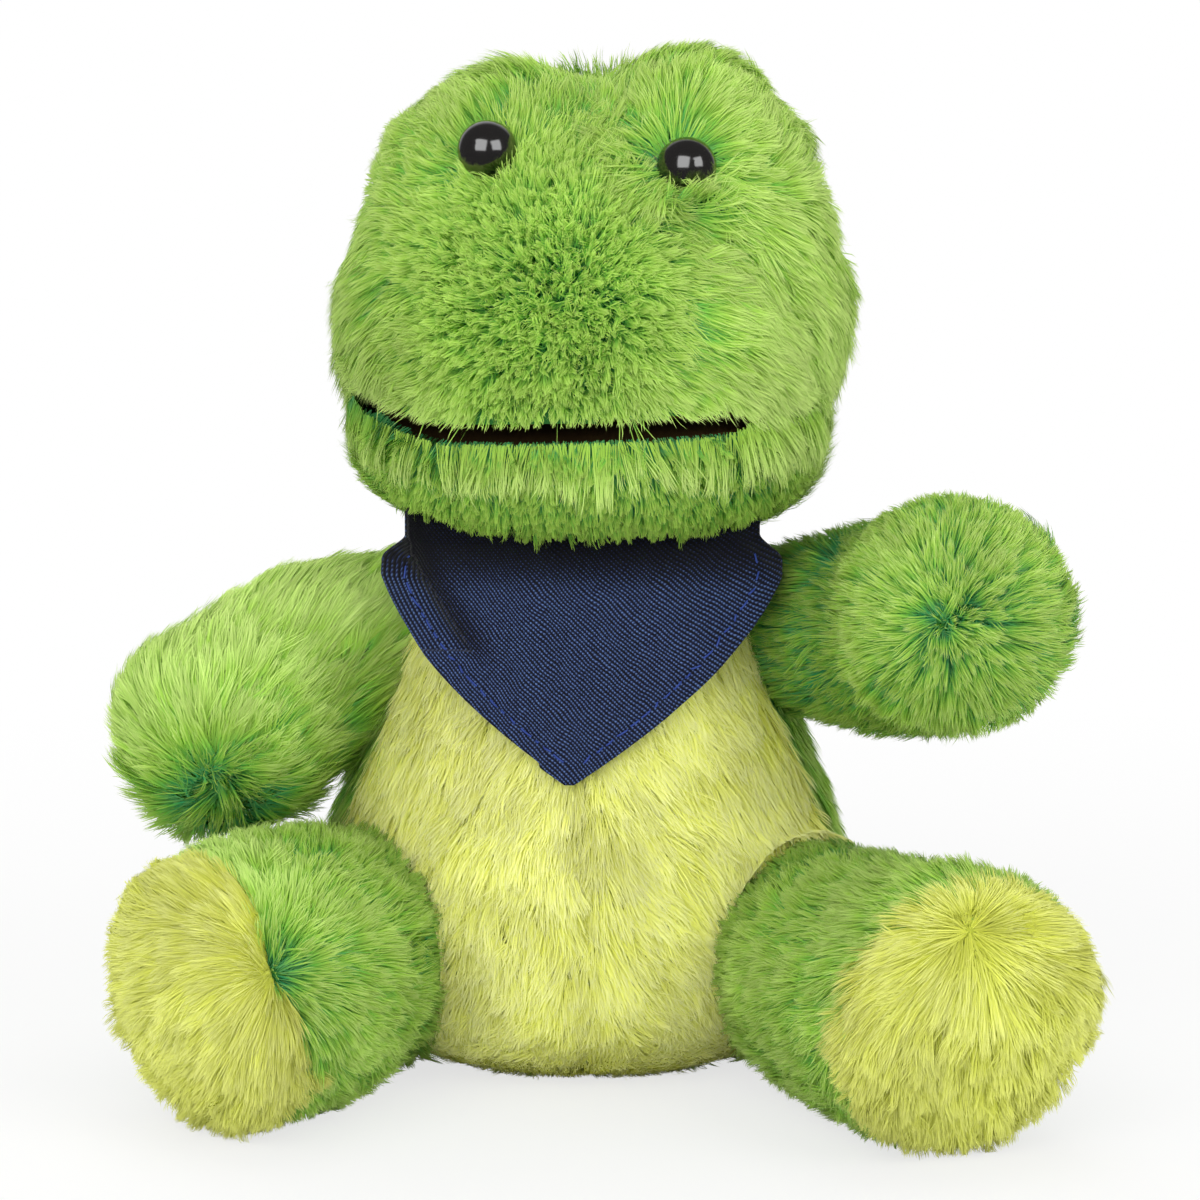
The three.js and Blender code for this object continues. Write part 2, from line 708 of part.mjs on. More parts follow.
function bandanaKnot(torso) {
  const wrap = new THREE.SphereGeometry(1, knotSides.around, knotSides.along);
  wrap.scale(knotWidth / 2, knotDepth / 2, knotHeight / 2);
  wrap.translate(0, knotCentreY(torso), bandTop - knotHeight / 2);
  return solid(wrap).add(bandanaTail(-1, torso)).add(bandanaTail(1, torso));
}

function bandanaPieces() {
  const torso = geometryOf(torsoForm(outside, 0));
  return [
    piece('bandana', bandanaTriangle(torso).add(neckBand()), navy),
    piece('bandana_knot', bandanaKnot(torso), navy),
  ];
}

const group = new THREE.Group();
group.name = 'plush_frog';
group.add(...torsoPieces());
group.add(head());
group.add(...bandanaPieces());
for (const side of ['right', 'left']) {
  group.add(...armPieces(side));
  group.add(...legPieces(side));
}

export default group;
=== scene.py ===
"""Looks of the seated plush frog: fur as real strands, bright eyes, a felt mouth and a knitted bandana."""

import math
from functools import partial

import bpy
import numpy as np
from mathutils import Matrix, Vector, kdtree


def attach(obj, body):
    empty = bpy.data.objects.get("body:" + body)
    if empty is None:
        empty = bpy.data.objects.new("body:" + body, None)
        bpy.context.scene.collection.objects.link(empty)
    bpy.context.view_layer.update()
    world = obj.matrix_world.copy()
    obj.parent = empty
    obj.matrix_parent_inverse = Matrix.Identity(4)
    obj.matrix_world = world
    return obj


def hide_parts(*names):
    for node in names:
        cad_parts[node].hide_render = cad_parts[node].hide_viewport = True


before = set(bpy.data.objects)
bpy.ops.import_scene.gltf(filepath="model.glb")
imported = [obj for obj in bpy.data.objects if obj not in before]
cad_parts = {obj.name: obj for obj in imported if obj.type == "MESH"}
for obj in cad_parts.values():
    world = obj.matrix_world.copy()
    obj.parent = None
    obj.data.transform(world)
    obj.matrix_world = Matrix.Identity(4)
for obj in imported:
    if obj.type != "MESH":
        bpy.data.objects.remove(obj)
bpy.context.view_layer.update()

MM = 0.001
UP = np.array([0.0, 0.0, 1.0])


def arr(*values):
    return np.array(values, float)


def size_of(a):
    return np.linalg.norm(a, axis=-1)


def unit(a):
    return a / np.maximum(size_of(a)[..., None], 1e-9)


def dot(a, b):
    return np.sum(a * b, axis=-1, keepdims=True)


def ease(lo, hi, x):
    """Goes smoothly from 0 at lo to 1 at hi."""
    t = np.clip((x - lo) / (hi - lo), 0, 1)
    return t * t * (3 - 2 * t)


def hump(x, reach):
    """Falls smoothly from 1 at 0 on both sides."""
    return np.exp(-(x / reach) ** 2)


def srgb(text):
    """A hex colour as linear red, green, blue and alpha."""
    parts = [int(text[i:i + 2], 16) / 255 for i in (0, 2, 4)]
    return tuple(c / 12.92 if c <= 0.04045 else ((c + 0.055) / 1.055) ** 2.4 for c in parts) + (1.0,)


# Camera

CAMERA_AT = arr(3.6, -1062.1, 274.7)
CAMERA_TO = arr(3.6, 0, 97)
SENSOR = 36
FRAME_PIXELS, FOCAL_PIXELS = 1200, 5128
camera_data = bpy.data.cameras.new("camera")
camera_data.sensor_fit = "HORIZONTAL"
camera_data.sensor_width = SENSOR
camera_data.lens = SENSOR * FOCAL_PIXELS / FRAME_PIXELS
camera_data.clip_start = 0.05
camera = bpy.data.objects.new("camera", camera_data)
bpy.context.scene.collection.objects.link(camera)
camera.location = Vector(CAMERA_AT * MM)
camera.rotation_euler = Vector((CAMERA_TO - CAMERA_AT) * MM).to_track_quat("-Z", "Y").to_euler()
bpy.context.scene.camera = camera


# Meshes

def make_mesh(name, verts, faces, material, normals=None, colors=None, uvs=None, body=None):
    """An object from millimetre points and faces of one size, or a list of such face arrays."""
    groups = faces if isinstance(faces, list) else [faces]
    mesh = bpy.data.meshes.new(name)
    mesh.vertices.add(len(verts))
    mesh.vertices.foreach_set("co", (np.asarray(verts) * MM).astype(np.float32).ravel())
    index = np.concatenate([g.ravel() for g in groups]).astype(np.int32)
    sizes = np.concatenate([np.full(len(g), g.shape[1]) for g in groups])
    mesh.loops.add(len(index))
    mesh.loops.foreach_set("vertex_index", index)
    mesh.polygons.add(len(sizes))
    starts = np.concatenate([[0], np.cumsum(sizes)[:-1]]).astype(np.int32)
    mesh.polygons.foreach_set("loop_start", starts)
    if uvs is not None:
        layer = mesh.uv_layers.new(name="cloth")
        layer.data.foreach_set("uv", np.asarray(uvs)[index].astype(np.float32).ravel())
    if colors is not None:
        layer = mesh.color_attributes.new("strand", "FLOAT_COLOR", "POINT")
        layer.data.foreach_set("color", colors.astype(np.float32).ravel())
    mesh.update(calc_edges=True)
    if normals is not None:
        layer = mesh.attributes.new("custom_normal", "FLOAT_VECTOR", "POINT")
        layer.data.foreach_set("vector", normals.astype(np.float32).ravel())
    mesh.materials.append(material)
    obj = bpy.data.objects.new(name, mesh)
    bpy.context.scene.collection.objects.link(obj)
    if body:
        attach(obj, body)
    return obj


def grid_faces(rows, columns, wrap=True):
    """Quads of a grid of points, row by row, that may close round on itself."""
    r = np.arange(rows - 1)[:, None]
    c = np.arange(columns if wrap else columns - 1)[None, :]
    n = (c + 1) % columns
    a, b = r * columns + c, r * columns + n
    return np.stack([a, b, b + columns, a + columns], -1).reshape(-1, 4)


def vertex_normals(verts, quads):
    face = np.cross(verts[quads[:, 2]] - verts[quads[:, 0]], verts[quads[:, 3]] - verts[quads[:, 1]])
    total = np.zeros_like(verts)
    for k in range(4):
        np.add.at(total, quads[:, k], face)
    return unit(total)


def catmull(stations, count):
    """A smooth curve through the stations, as so many rows."""
    p = np.asarray(stations, float)
    t = np.linspace(0, len(p) - 1, count)
    i = np.minimum(t.astype(int), len(p) - 2)
    f = (t - i)[:, None]
    p = np.vstack([2 * p[0] - p[1], p, 2 * p[-1] - p[-2]])
    p0, p1, p2, p3 = (p[i + k] for k in range(4))
    return 0.5 * (2 * p1 + (p2 - p0) * f + (2 * p0 - 5 * p1 + 4 * p2 - p3) * f ** 2
                  + (3 * p1 - p0 - 3 * p2 + p3) * f ** 3)


# Forms, in the CAD's own sizes

class Form:
    """A soft body part: a fine outer skin, with a rough signed distance for its neighbours."""

    def __init__(self, verts, quads, value):
        self.verts = verts
        self.quads = quads
        self.normals = vertex_normals(verts, quads)
        self.value = value

    def sample(self, rng, density):
        """Random spots on the skin, so many to a square millimetre, with their normals."""
        q = self.quads
        tris = np.vstack([q[:, [0, 1, 2]], q[:, [0, 2, 3]]])
        a, b, c = (self.verts[tris[:, k]] for k in range(3))
        area = size_of(np.cross(b - a, c - a)) / 2
        count = int(area.sum() * density)
        pick = rng.choice(len(tris), count, p=area / area.sum())
        u, w = rng.random((2, count, 1))
        flip = u + w > 1
        u, w = np.where(flip, 1 - u, u), np.where(flip, 1 - w, w)
        tri = tris[pick]
        mix = lambda x: x[tri[:, 0]] * (1 - u - w) + x[tri[:, 1]] * u + x[tri[:, 2]] * w
        return mix(self.verts), unit(mix(self.normals))

    def gradient(self, p):
        e = 0.5
        base = self.value(p)
        return unit(np.stack([self.value(p + e * axis) - base for axis in np.eye(3)], -1))


NECK = 113.0
TORSO_HALF = 56.5
TORSO_FLAT = 94 / 113
TORSO_SHARES = [(0.05, 0.78), (0.14, 0.94), (0.28, 1), (0.42, 0.97), (0.56, 0.88), (0.7, 0.77), (0.84, 0.68),
                (0.94, 0.58), (1, 0.46)]
torso_rows = catmull([(-0.5, 0.52)] + [(share * NECK, wide) for share, wide in TORSO_SHARES], 90)


def torso_half(z):
    """Half width of the torso at a height."""
    return np.interp(z, torso_rows[:, 0], torso_rows[:, 1]) * TORSO_HALF


def torso_value(p):
    z = np.clip(p[..., 2], 0, NECK)
    radial = np.hypot(p[..., 0], p[..., 1] / TORSO_FLAT) - torso_half(z)
    return np.maximum(radial, np.maximum(p[..., 2] - NECK, -p[..., 2]))


def torso_form():
    columns = 160
    angle = np.linspace(0, 2 * np.pi, columns, endpoint=False)
    rows = [(0, share) for share in (0.02, 0.2, 0.38)]
    rows += [(max(z, 0), w) for z, w in torso_rows]
    rows += [(NECK + 1, 0.3), (NECK + 1.5, 0.02)]
    verts = np.array([[w * TORSO_HALF * np.cos(angle), TORSO_FLAT * w * TORSO_HALF * np.sin(angle),
                       np.full_like(angle, z)] for z, w in rows]).transpose(0, 2, 1)
    return Form(verts.reshape(-1, 3), grid_faces(len(rows), columns), torso_value)


HEAD_AT = arr(3, 0, 113.3)
HEAD_TURN = math.radians(-3)
HEAD_H, HEAD_W, SNOUT, HEAD_BACK = 93.0, 54.5, 59.0, 40.0
HEAD_ROWS = [(0, 0.6, 0.5, 0.42, 2.2), (0.05, 0.76, 0.72, 0.6, 2.3), (0.15, 0.9, 0.87, 0.8, 2.4),
             (0.3, 0.98, 0.96, 0.92, 2.4), (0.48, 1, 1, 1, 2.3), (0.66, 0.945, 0.95, 1, 2.2),
             (0.82, 0.855, 0.8, 0.92, 2.2), (0.93, 0.74, 0.6, 0.72, 2.1), (1, 0.42, 0.32, 0.4, 2)]
head_rows = catmull(HEAD_ROWS, 120)
turn_cos, turn_sin = math.cos(HEAD_TURN), math.sin(HEAD_TURN)
TO_WORLD = np.array([[turn_cos, -turn_sin, 0], [turn_sin, turn_cos, 0], [0, 0, 1]])


def head_to_world(p):
    return p @ TO_WORLD.T + HEAD_AT


def world_to_head(p):
    return (p - HEAD_AT) @ TO_WORLD


def smooth_min(a, b, k):
    h = np.clip(0.5 + 0.5 * (b - a) / k, 0, 1)
    return b + (a - b) * h - k * h * (1 - h)


def head_value(world):
    """The skull's squared rows with the two brow mounds blended in."""
    p = world_to_head(world)
    share = np.clip(p[..., 2], 0, HEAD_H) / HEAD_H
    wide, front, back, square = (np.interp(share, head_rows[:, 0], head_rows[:, k]) for k in range(1, 5))
    wide = wide * HEAD_W
    deep = np.where(p[..., 1] < 0, front * SNOUT, back * HEAD_BACK)
    q = (np.abs(p[..., 0] / wide) ** square + np.abs(p[..., 1] / deep) ** square) ** (1 / square)
    skull = np.maximum((q - 1) * np.minimum(wide, deep), np.maximum(p[..., 2] - HEAD_H, -p[..., 2]))
    for side in (-1, 1):
        brow = (p - arr(side * 20, -12, 80.5 + side)) / arr(19, 24, 19)
        skull = smooth_min(skull, (size_of(brow) - 1) * 19, 7)
    return skull


def rayed_form(value, centre, rows, columns):
    """The skin of a rounded form, found along rays from a point inside it."""
    polar = np.linspace(0.01, np.pi - 0.01, rows)
    around = np.linspace(0, 2 * np.pi, columns, endpoint=False)
    pole, turn = np.meshgrid(np.pi - polar, around, indexing="ij")
    ray = np.stack([np.sin(pole) * np.cos(turn), np.sin(pole) * np.sin(turn), np.cos(pole)], -1)
    ray = ray.reshape(-1, 3)
    near, far = np.zeros(len(ray)), np.full(len(ray), 110.0)
    for _ in range(24):
        middle = (near + far) / 2
        inside = value(centre + ray * middle[:, None]) < 0
        near, far = np.where(inside, middle, near), np.where(inside, far, middle)
    return Form(centre + ray * near[:, None], grid_faces(rows, columns), value)


class Limb:
    """A curved limb with a ball at its root and a round end, as the CAD draws it."""

    def __init__(self, pivot, end, facing, bend, radii, end_round):
        self.pivot, self.end, self.facing = arr(*pivot), arr(*end), unit(arr(*facing))
        middle = self.end - self.facing * bend
        t = np.linspace(0, 1, 61)[:, None]
        self.line = ((1 - t) ** 2 * self.pivot + 2 * t * (1 - t) * middle + t ** 2 * self.end)
        self.along = np.concatenate([[0], np.cumsum(size_of(np.diff(self.line, axis=0)))])
        self.length = self.along[-1]
        swell = catmull([(self.length * i / 2, r) for i, r in enumerate(radii)], 40)
        self.radius_at = lambda s: np.interp(s, swell[:, 0], swell[:, 1])
        self.end_round = end_round

    def value(self, p):
        flat = p.reshape(-1, 3)
        best = np.full(len(flat), 1e9)
        for k in range(0, 61, 3):
            away = size_of(flat - self.line[k]) - self.radius_at(self.along[k])
            best = np.minimum(best, away)
        along = (flat - self.end) @ self.facing
        across = size_of(flat - self.end - along[:, None] * self.facing)
        wide, deep = self.radius_at(self.length), self.end_round
        dome = np.hypot(across / wide, along / deep)
        slope = np.hypot(across / wide ** 2, along / deep ** 2)
        best = np.where(along > 0, dome * (dome - 1) / np.maximum(slope, 1e-6), best)
        return np.maximum(best, -flat[:, 2]).reshape(p.shape[:-1])

    def form(self):
        """The middle of the limb's line sees all of its skin."""
        return rayed_form(self.value, self.line[33], 120, 160)


FOOT_Z = 28.4
ARM_RADII = (15, 21.2, 24)
LEG_RADII = (25.5, 29, 28.9)
limbs = {
    "right_arm": Limb((-38, 1, 92.5), (-73.9, -17, 74.5), (-0.47, -0.8, -0.36), 23, ARM_RADII, 24),
    "left_arm": Limb((38, 1, 92.5), (75, -39.6, 101.5), (0.12, -0.93, 0.34), 23, ARM_RADII, 24),
    "right_leg": Limb((-46, -17, 27.5), (-75.3, -69.4, FOOT_Z), (-0.73, -0.68, -0.12), 10, LEG_RADII, 10),
    "left_leg": Limb((46, -17, 27.5), (76.3, -88.5, FOOT_Z), (0.42, -0.87, -0.25), 10, LEG_RADII, 10),
}
forms = {"torso": torso_form(), "head": rayed_form(head_value, head_to_world(arr(0, -6, 46)), 150, 200)}
forms.update({name: limb.form() for name, limb in limbs.items()})


# Materials

def new_material(name):
    material = bpy.data.materials.new(name)
    material.use_nodes = True
    tree = material.node_tree
    return material, tree, tree.nodes["Principled BSDF"]


def plug(tree, node, inputs):
    """Sets a node's inputs, each to a value or to another node's output."""
    for socket, value in inputs.items():
        if isinstance(value, bpy.types.NodeSocket):
            tree.links.new(value, node.inputs[socket])
        else:
            node.inputs[socket].default_value = value


def add(tree, kind, inputs=None, **settings):
    """A new shader node with its settings and inputs."""
    node = tree.nodes.new("ShaderNode" + kind)
    for name, value in settings.items():
        setattr(node, name, value)
    plug(tree, node, inputs or {})
    return node


def noise(tree, inputs):
    return add(tree, "TexNoise", inputs).outputs["Fac"]


def ramp(tree, factor, stops):
    """The colour that a ramp of hex colours gives for a factor."""
    node = add(tree, "ValToRGB", {"Fac": factor})
    while len(node.color_ramp.elements) < len(stops):
        node.color_ramp.elements.new(0.5)
    for element, (position, color) in zip(node.color_ramp.elements, stops):
        element.position = position
        element.color = srgb(color)
    return node.outputs["Color"]


def blend(tree, factor, first, second):
    """A share of the second shader over the first."""
    return add(tree, "MixShader", {"Fac": factor, 1: first, 2: second}).outputs[0]


def strand_data(tree):
    """Three channels of the data that a mesh carries for its material, and the fourth."""
    data = add(tree, "Attribute", attribute_name="strand").outputs
    return add(tree, "SeparateColor", {"Color": data["Color"]}).outputs, data["Alpha"]


def speckled(name, inputs, stops, surface):
    """A material whose colour wanders finely between two shades, with what it is made of."""
    material, tree, shader = new_material(name)
    grain = noise(tree, inputs)
    plug(tree, shader, {"Base Color": ramp(tree, grain, stops), **surface})
    return material, tree, shader, grain


def bumpy(tree, shader, height, strength, deep):
    bump = add(tree, "Bump", {"Strength": strength, "Distance": deep, "Height": height})
    plug(tree, shader, {"Normal": bump.outputs["Normal"]})


def fur_material(name, stops, warm):
    """Strands darker at the root and paler at the tip, each tuft and strand a little different."""
    material, tree, shader = new_material(name)
    (along, tone, own), _ = strand_data(tree)
    amount = add(tree, "Math", {0: own, 1: 0.35}, operation="MULTIPLY").outputs[0]
    tint = {"B": srgb(warm), "Factor": amount, "A": ramp(tree, along, stops)}
    tint = add(tree, "Mix", tint, data_type="RGBA")
    value = add(tree, "MapRange", {"To Min": 0.78, "To Max": 1.26, "Value": tone}).outputs["Result"]
    color = add(tree, "HueSaturation", {"Value": value, "Color": tint.outputs["Result"]}).outputs["Color"]
    plug(tree, shader, {"Base Color": color, "Roughness": 0.62, "Specular IOR Level": 0.3})
    through = add(tree, "BsdfTranslucent", {"Color": color}).outputs[0]
    look = blend(tree, 0.25, shader.outputs[0], through)
    plug(tree, tree.nodes["Material Output"], {"Surface": look})
    return material


green_fur = fur_material("green_plush", [(0.25, "32AA6C"), (0.55, "74C446"), (0.8, "A8D152"), (1, "D0E58F")],
                         "BBDA66")
yellow_fur = fur_material("yellow_green_plush", [(0.1, "DDE24C"), (0.45, "E8EC64"), (0.8, "F1F48E"),
                                                 (1, "F8F9C4")], "F2F4A4")
sole_fur = fur_material("sole_plush", [(0.1, "C6CF38"), (0.45, "D6DC4C"), (0.8, "E2E76E"), (1, "EDF0A0")],
                        "E6EA84")


def backing_material():
    """Knitted backing of the pile, hardly seen between the strands; yellow under the yellow fur."""
    material, tree, shader = new_material("backing")
    grain = noise(tree, {"Scale": 900})
    green = ramp(tree, grain, [(0.3, "1E5F2B"), (0.7, "3C8A34")])
    yellow = ramp(tree, grain, [(0.3, "A9B332"), (0.7, "C2CB48")])
    share = strand_data(tree)[0]["Red"]
    mix = add(tree, "Mix", {"Factor": share, "A": green, "B": yellow}, data_type="RGBA")
    plug(tree, shader, {"Base Color": mix.outputs["Result"], "Roughness": 0.9})
    return material


# Strands

DENSITY = 5.5
ALONG = arr(0.0, 0.42, 0.8, 1.0)
WIDTH_SHAPE = arr(1.0, 1.0, 0.85, 0.0)
STEPS = len(ALONG)
PER_STRAND = 2 * STEPS - 1
SHALLOWEST, DEEPEST = 1.8, 7.0


def wobble(p, size, seed):
    """A slow, smooth wandering of direction over the skin."""
    waves = np.random.default_rng(seed).normal(size=(5, 3, 3))
    total = np.zeros_like(p)
    for k, (a, b, c) in enumerate(waves):
        total += np.sin(p @ a[:, None] * (2.2 / size) + 7 * k) * unit(b)
        total += np.cos(p @ c[:, None] * (3.1 / size)) * unit(a) * 0.6
    return total / 3


def field(p, size, seed):
    """A smooth scalar that wanders between about -1 and 1 over the skin."""
    waves = unit(np.random.default_rng(seed).normal(size=(6, 3)))
    total = sum(np.sin(p @ w * (2 * np.pi / size) * (0.7 + 0.12 * k) + 5 * k) for k, w in enumerate(waves))
    return total / 2.6


def nearest(points, centres):
    tree = kdtree.KDTree(len(centres))
    for i, c in enumerate(centres):
        tree.insert(c, i)
    tree.balance()
    return np.array([tree.find(p)[1] for p in points.tolist()])


def whorl_flow(p, normal, whorls, base):
    """Directions that run away from each whorl near it, and with the base direction elsewhere."""
    flow = np.broadcast_to(base, p.shape).copy()
    for at, reach, strength in whorls:
        away = p - at
        flow = flow + strength * hump(size_of(away), reach)[:, None] * unit(away)
    flow = flow - normal * dot(flow, normal)
    return unit(flow)


def lean_by_whorl(p, at, near, far, reach):
    """Strands stand up at a whorl and lie down away from it."""
    return near + (far - near) * ease(0, reach, size_of(p - at))


def neighbour_rule(name, points, roots):
    """Keeps strands that start in the open, and bends their points out of neighbouring forms."""
    buried, pressed, reach = -6.5, -2.0, 7
    keep = np.ones(len(roots), bool)
    for other, form in forms.items():
        if other == name:
            continue
        low, high = form.verts.min(0) - 2, form.verts.max(0) + 2
        near = np.all((roots > low - 12) & (roots < high + 12), axis=1)
        ids = np.nonzero(near)[0]
        if not len(ids):
            continue
        keep[ids] &= form.value(roots[ids]) > buried
        for k in range(1, STEPS):
            depth = form.value(points[ids, k])
            deep = depth < pressed
            if not deep.any():
                continue
            spot = points[ids[deep], k]
            push = np.minimum(pressed - depth[deep], reach)[:, None]
            points[ids[deep], k] = spot + form.gradient(spot) * push
    return keep


def grow(name, body, skin, normal, flow, material, node, rng, length=11.0, lean=0.55, over=0.0, bend=0.25,
         droop=0.04, tuft=1.15, lock=6.0, clump=0.55, spread=0.2, blunt=0.0, width=0.2, wild=0.14, loose=0.9,
         round_off=0.7, fresh=0.0, shade=0.0, parting=0.3, ragged=1.0, shape=None):
    """One piece of fur: strands from the backing, in tufts and larger locks, lying with the flow.

    Most looks may differ from strand to strand. Lengths are in millimetres, the rest are shares.
    """
    count = len(skin)
    each = (length, lean, clump, wild, bend, droop, over, fresh, spread, blunt, loose, shade, width, parting,
            ragged)
    each = [np.broadcast_to(v, count)[:, None] for v in each]
    length, lean, clump, wild, bend, droop, over, fresh = each[:8]
    spread, blunt, loose, shade, width, parting, ragged = each[8:]
    rise = length * ((1 - lean) / np.hypot(1 - lean, lean) - 0.35 * bend)
    depth = np.clip(rise - over, SHALLOWEST, DEEPEST)
    root = skin - normal * depth

    centres = rng.choice(count, max(4, int(count / DENSITY / tuft ** 2)), replace=False)
    locks = rng.choice(centres, max(4, int(count / DENSITY / lock ** 2)), replace=False)
    in_tuft = nearest(root, root[centres])
    in_lock = nearest(root[centres], root[locks])[in_tuft]
    by_tuft = lambda: rng.random(len(centres))[in_tuft][:, None]
    by_lock = lambda: rng.random(len(locks))[in_lock][:, None]
    way_by_tuft = lambda: rng.normal(size=(len(centres), 3))[in_tuft]
    way_by_lock = lambda: rng.normal(size=(len(locks), 3))[in_lock]
    away = size_of(root - root[locks][in_lock])[:, None] / (0.6 * lock)
    edge = parting * ease(0.55, 1.0, away)
    turn = way_by_lock() * wild * loose
    turn = turn + way_by_tuft() * wild
    curl = way_by_tuft() * 0.3 + way_by_lock() * 0.3
    tone = 0.5 + 0.26 * (by_lock() - 0.5) + 0.44 * (by_tuft() - 0.5)
    # shade shifts the tone: in places it is painted light or shade, on the belly it darkens the seam.
    tone = np.clip(tone + shade + 0.11 * field(skin, 26, 8)[:, None], 0, 1)
    size = length * (0.88 + 0.24 * by_lock()) * (0.85 + 0.3 * by_tuft())
    size = size * (0.82 + 0.24 * rng.random((count, 1))) * (1 - 0.4 * edge)
    fresh = fresh - 0.8 * edge

    flow = unit(flow + 0.35 * wobble(skin, 22, 5))
    start = unit(normal * (1 - lean) + flow * lean + turn + rng.normal(size=(count, 3)) * wild * 0.6)
    t = np.tile(ALONG, (count, 1))
    t[:, 2] += 0.14 * blunt[:, 0]
    points = (root[:, None] + size[:, None] * (t[..., None] * start[:, None]
              + (t ** 2)[..., None] * (bend * (flow + curl - 0.35 * normal) - droop * UP)[:, None]))
    guide = points[centres][in_tuft] - spread[:, None] * (root[centres][in_tuft] - root)[:, None]
    pull = (clump * t ** 1.6)[:, :, None]
    points = points * (1 - pull) + guide * pull
    points += rng.normal(size=(count, STEPS, 3)) * (0.13 * t)[..., None]

    relief = ragged * (2.2 * by_lock() + 1.7 * by_tuft() + 0.9 * rng.random((count, 1)) - 2.5)
    form = forms[body]
    for k in range(1, STEPS):
        tk = t[:, k:k + 1]
        high = form.value(points[:, k]) - (np.minimum(rise, depth + over) * tk - depth + relief * tk)[:, 0]
        above = high > 0
        points[above, k] -= form.gradient(points[above, k]) * high[above, None]
    keep = neighbour_rule(body, points, root)
    keep &= size_of(np.diff(points, axis=1)).max(1) < 0.7 * length[:, 0]
    if shape is not None:
        keep &= shape(points, root)
    points[..., 2] = np.maximum(points[..., 2], 0.25)

    kept = (points, normal, tone, fresh, t, width, blunt)
    points, normal, tone, fresh, t, width, blunt = (v[keep] for v in kept)
    verts, faces, normals = ribbons(rng, points, normal, width, round_off)
    along = np.concatenate([np.repeat(t[:, :-1], 2, axis=1), t[:, -1:]], 1)
    data = np.empty((len(points), PER_STRAND, 4))
    data[..., 0] = np.clip(fresh + (1 - fresh) * along, 0, 1) * (1 - 0.12 * blunt)
    data[..., 1] = tone
    data[..., 2] = rng.random((len(points), 1))
    data[..., 3] = 1
    obj = make_mesh(name, verts.reshape(-1, 3), faces, material, normals.reshape(-1, 3), data.reshape(-1, 4),
                    body=body)
    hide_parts(node)


def ribbons(rng, points, normal, width, round_off):
    """A tapered ribbon along each strand: points, faces, and normals that make it look round."""
    count = len(points)

    def both_sides(left, right, tip):
        return np.concatenate([np.stack([left, right], 2)[:, :-1].reshape(count, -1, 3), tip[:, -1:]], 1)

    tangent = unit(np.gradient(points, axis=1))
    across = unit(np.cross(tangent, normal[:, None]))
    roll = rng.normal(size=(count, 1, 1)) * 0.5
    across = across * np.cos(roll) + np.cross(tangent, across) * np.sin(roll)
    half = (0.5 * width * (0.75 + 0.5 * rng.random((count, 1))) * WIDTH_SHAPE)[..., None]
    face = np.cross(across, tangent)
    face = np.where(dot(face, normal[:, None]) < 0, -face, face)
    smooth = unit((1 - round_off) * face + round_off * normal[:, None])
    verts = both_sides(points - across * half, points + across * half, points)
    normals = both_sides(unit(smooth - 0.25 * across), unit(smooth + 0.25 * across), smooth)
    first = (np.arange(count) * PER_STRAND)[:, None, None]
    quads = first + np.array([[2 * k, 2 * k + 1, 2 * k + 3, 2 * k + 2] for k in range(STEPS - 2)])
    tips = first[:, 0] + np.arange(PER_STRAND - 3, PER_STRAND)
    return verts, [quads.reshape(-1, 4), tips], normals


def grow_parts(parts, body, skin, normal, flow, material, rng, **looks):
    """Grows the furs that share a skin; each takes the looks of its own spots."""
    for name, mask, node in parts:
        own = {key: value[mask] if isinstance(value, np.ndarray) else value for key, value in looks.items()}
        grow(name, body, skin[mask], normal[mask], flow[mask], material, node, rng, **own)


# Head

MOUTH_GAP = 2.6


def mouth_height(x):
    """World height of the slit at a place across the face."""
    right = np.clip((-29 - x) / 18, 0, 1.2) ** 1.5 * 4.0
    return 137.6 + 0.04 * (np.maximum(x, -29) + 29) + right


def in_mouth(p, half):
    """Whether a spot lies in the slit, which narrows at the frog's left and round the sides."""
    back = world_to_head(p)[..., 1]
    half = half * (1 - 0.85 * ease(29, 37, p[..., 0])) * (1 - 0.85 * ease(-28, -14, back))
    return (np.abs(p[..., 2] - mouth_height(p[..., 0])) < half) & (back < -12)


def eye_place(side):
    """Centre of the eye's flat back, and the way that it looks, in world millimetres."""
    look = unit(arr(side * 0.3, -1, 0.3))
    start = arr(side * 20.5, 0, 80 - side * 1.5)
    near, far = 0.0, 90.0
    for _ in range(30):
        middle = (near + far) / 2
        inside = head_value(head_to_world(start + arr(0, -middle, 0))) < 0
        near, far = (middle, far) if inside else (near, middle)
    seat = start + arr(0, -near, 0) - look * 2.6
    return head_to_world(seat), look @ TO_WORLD.T


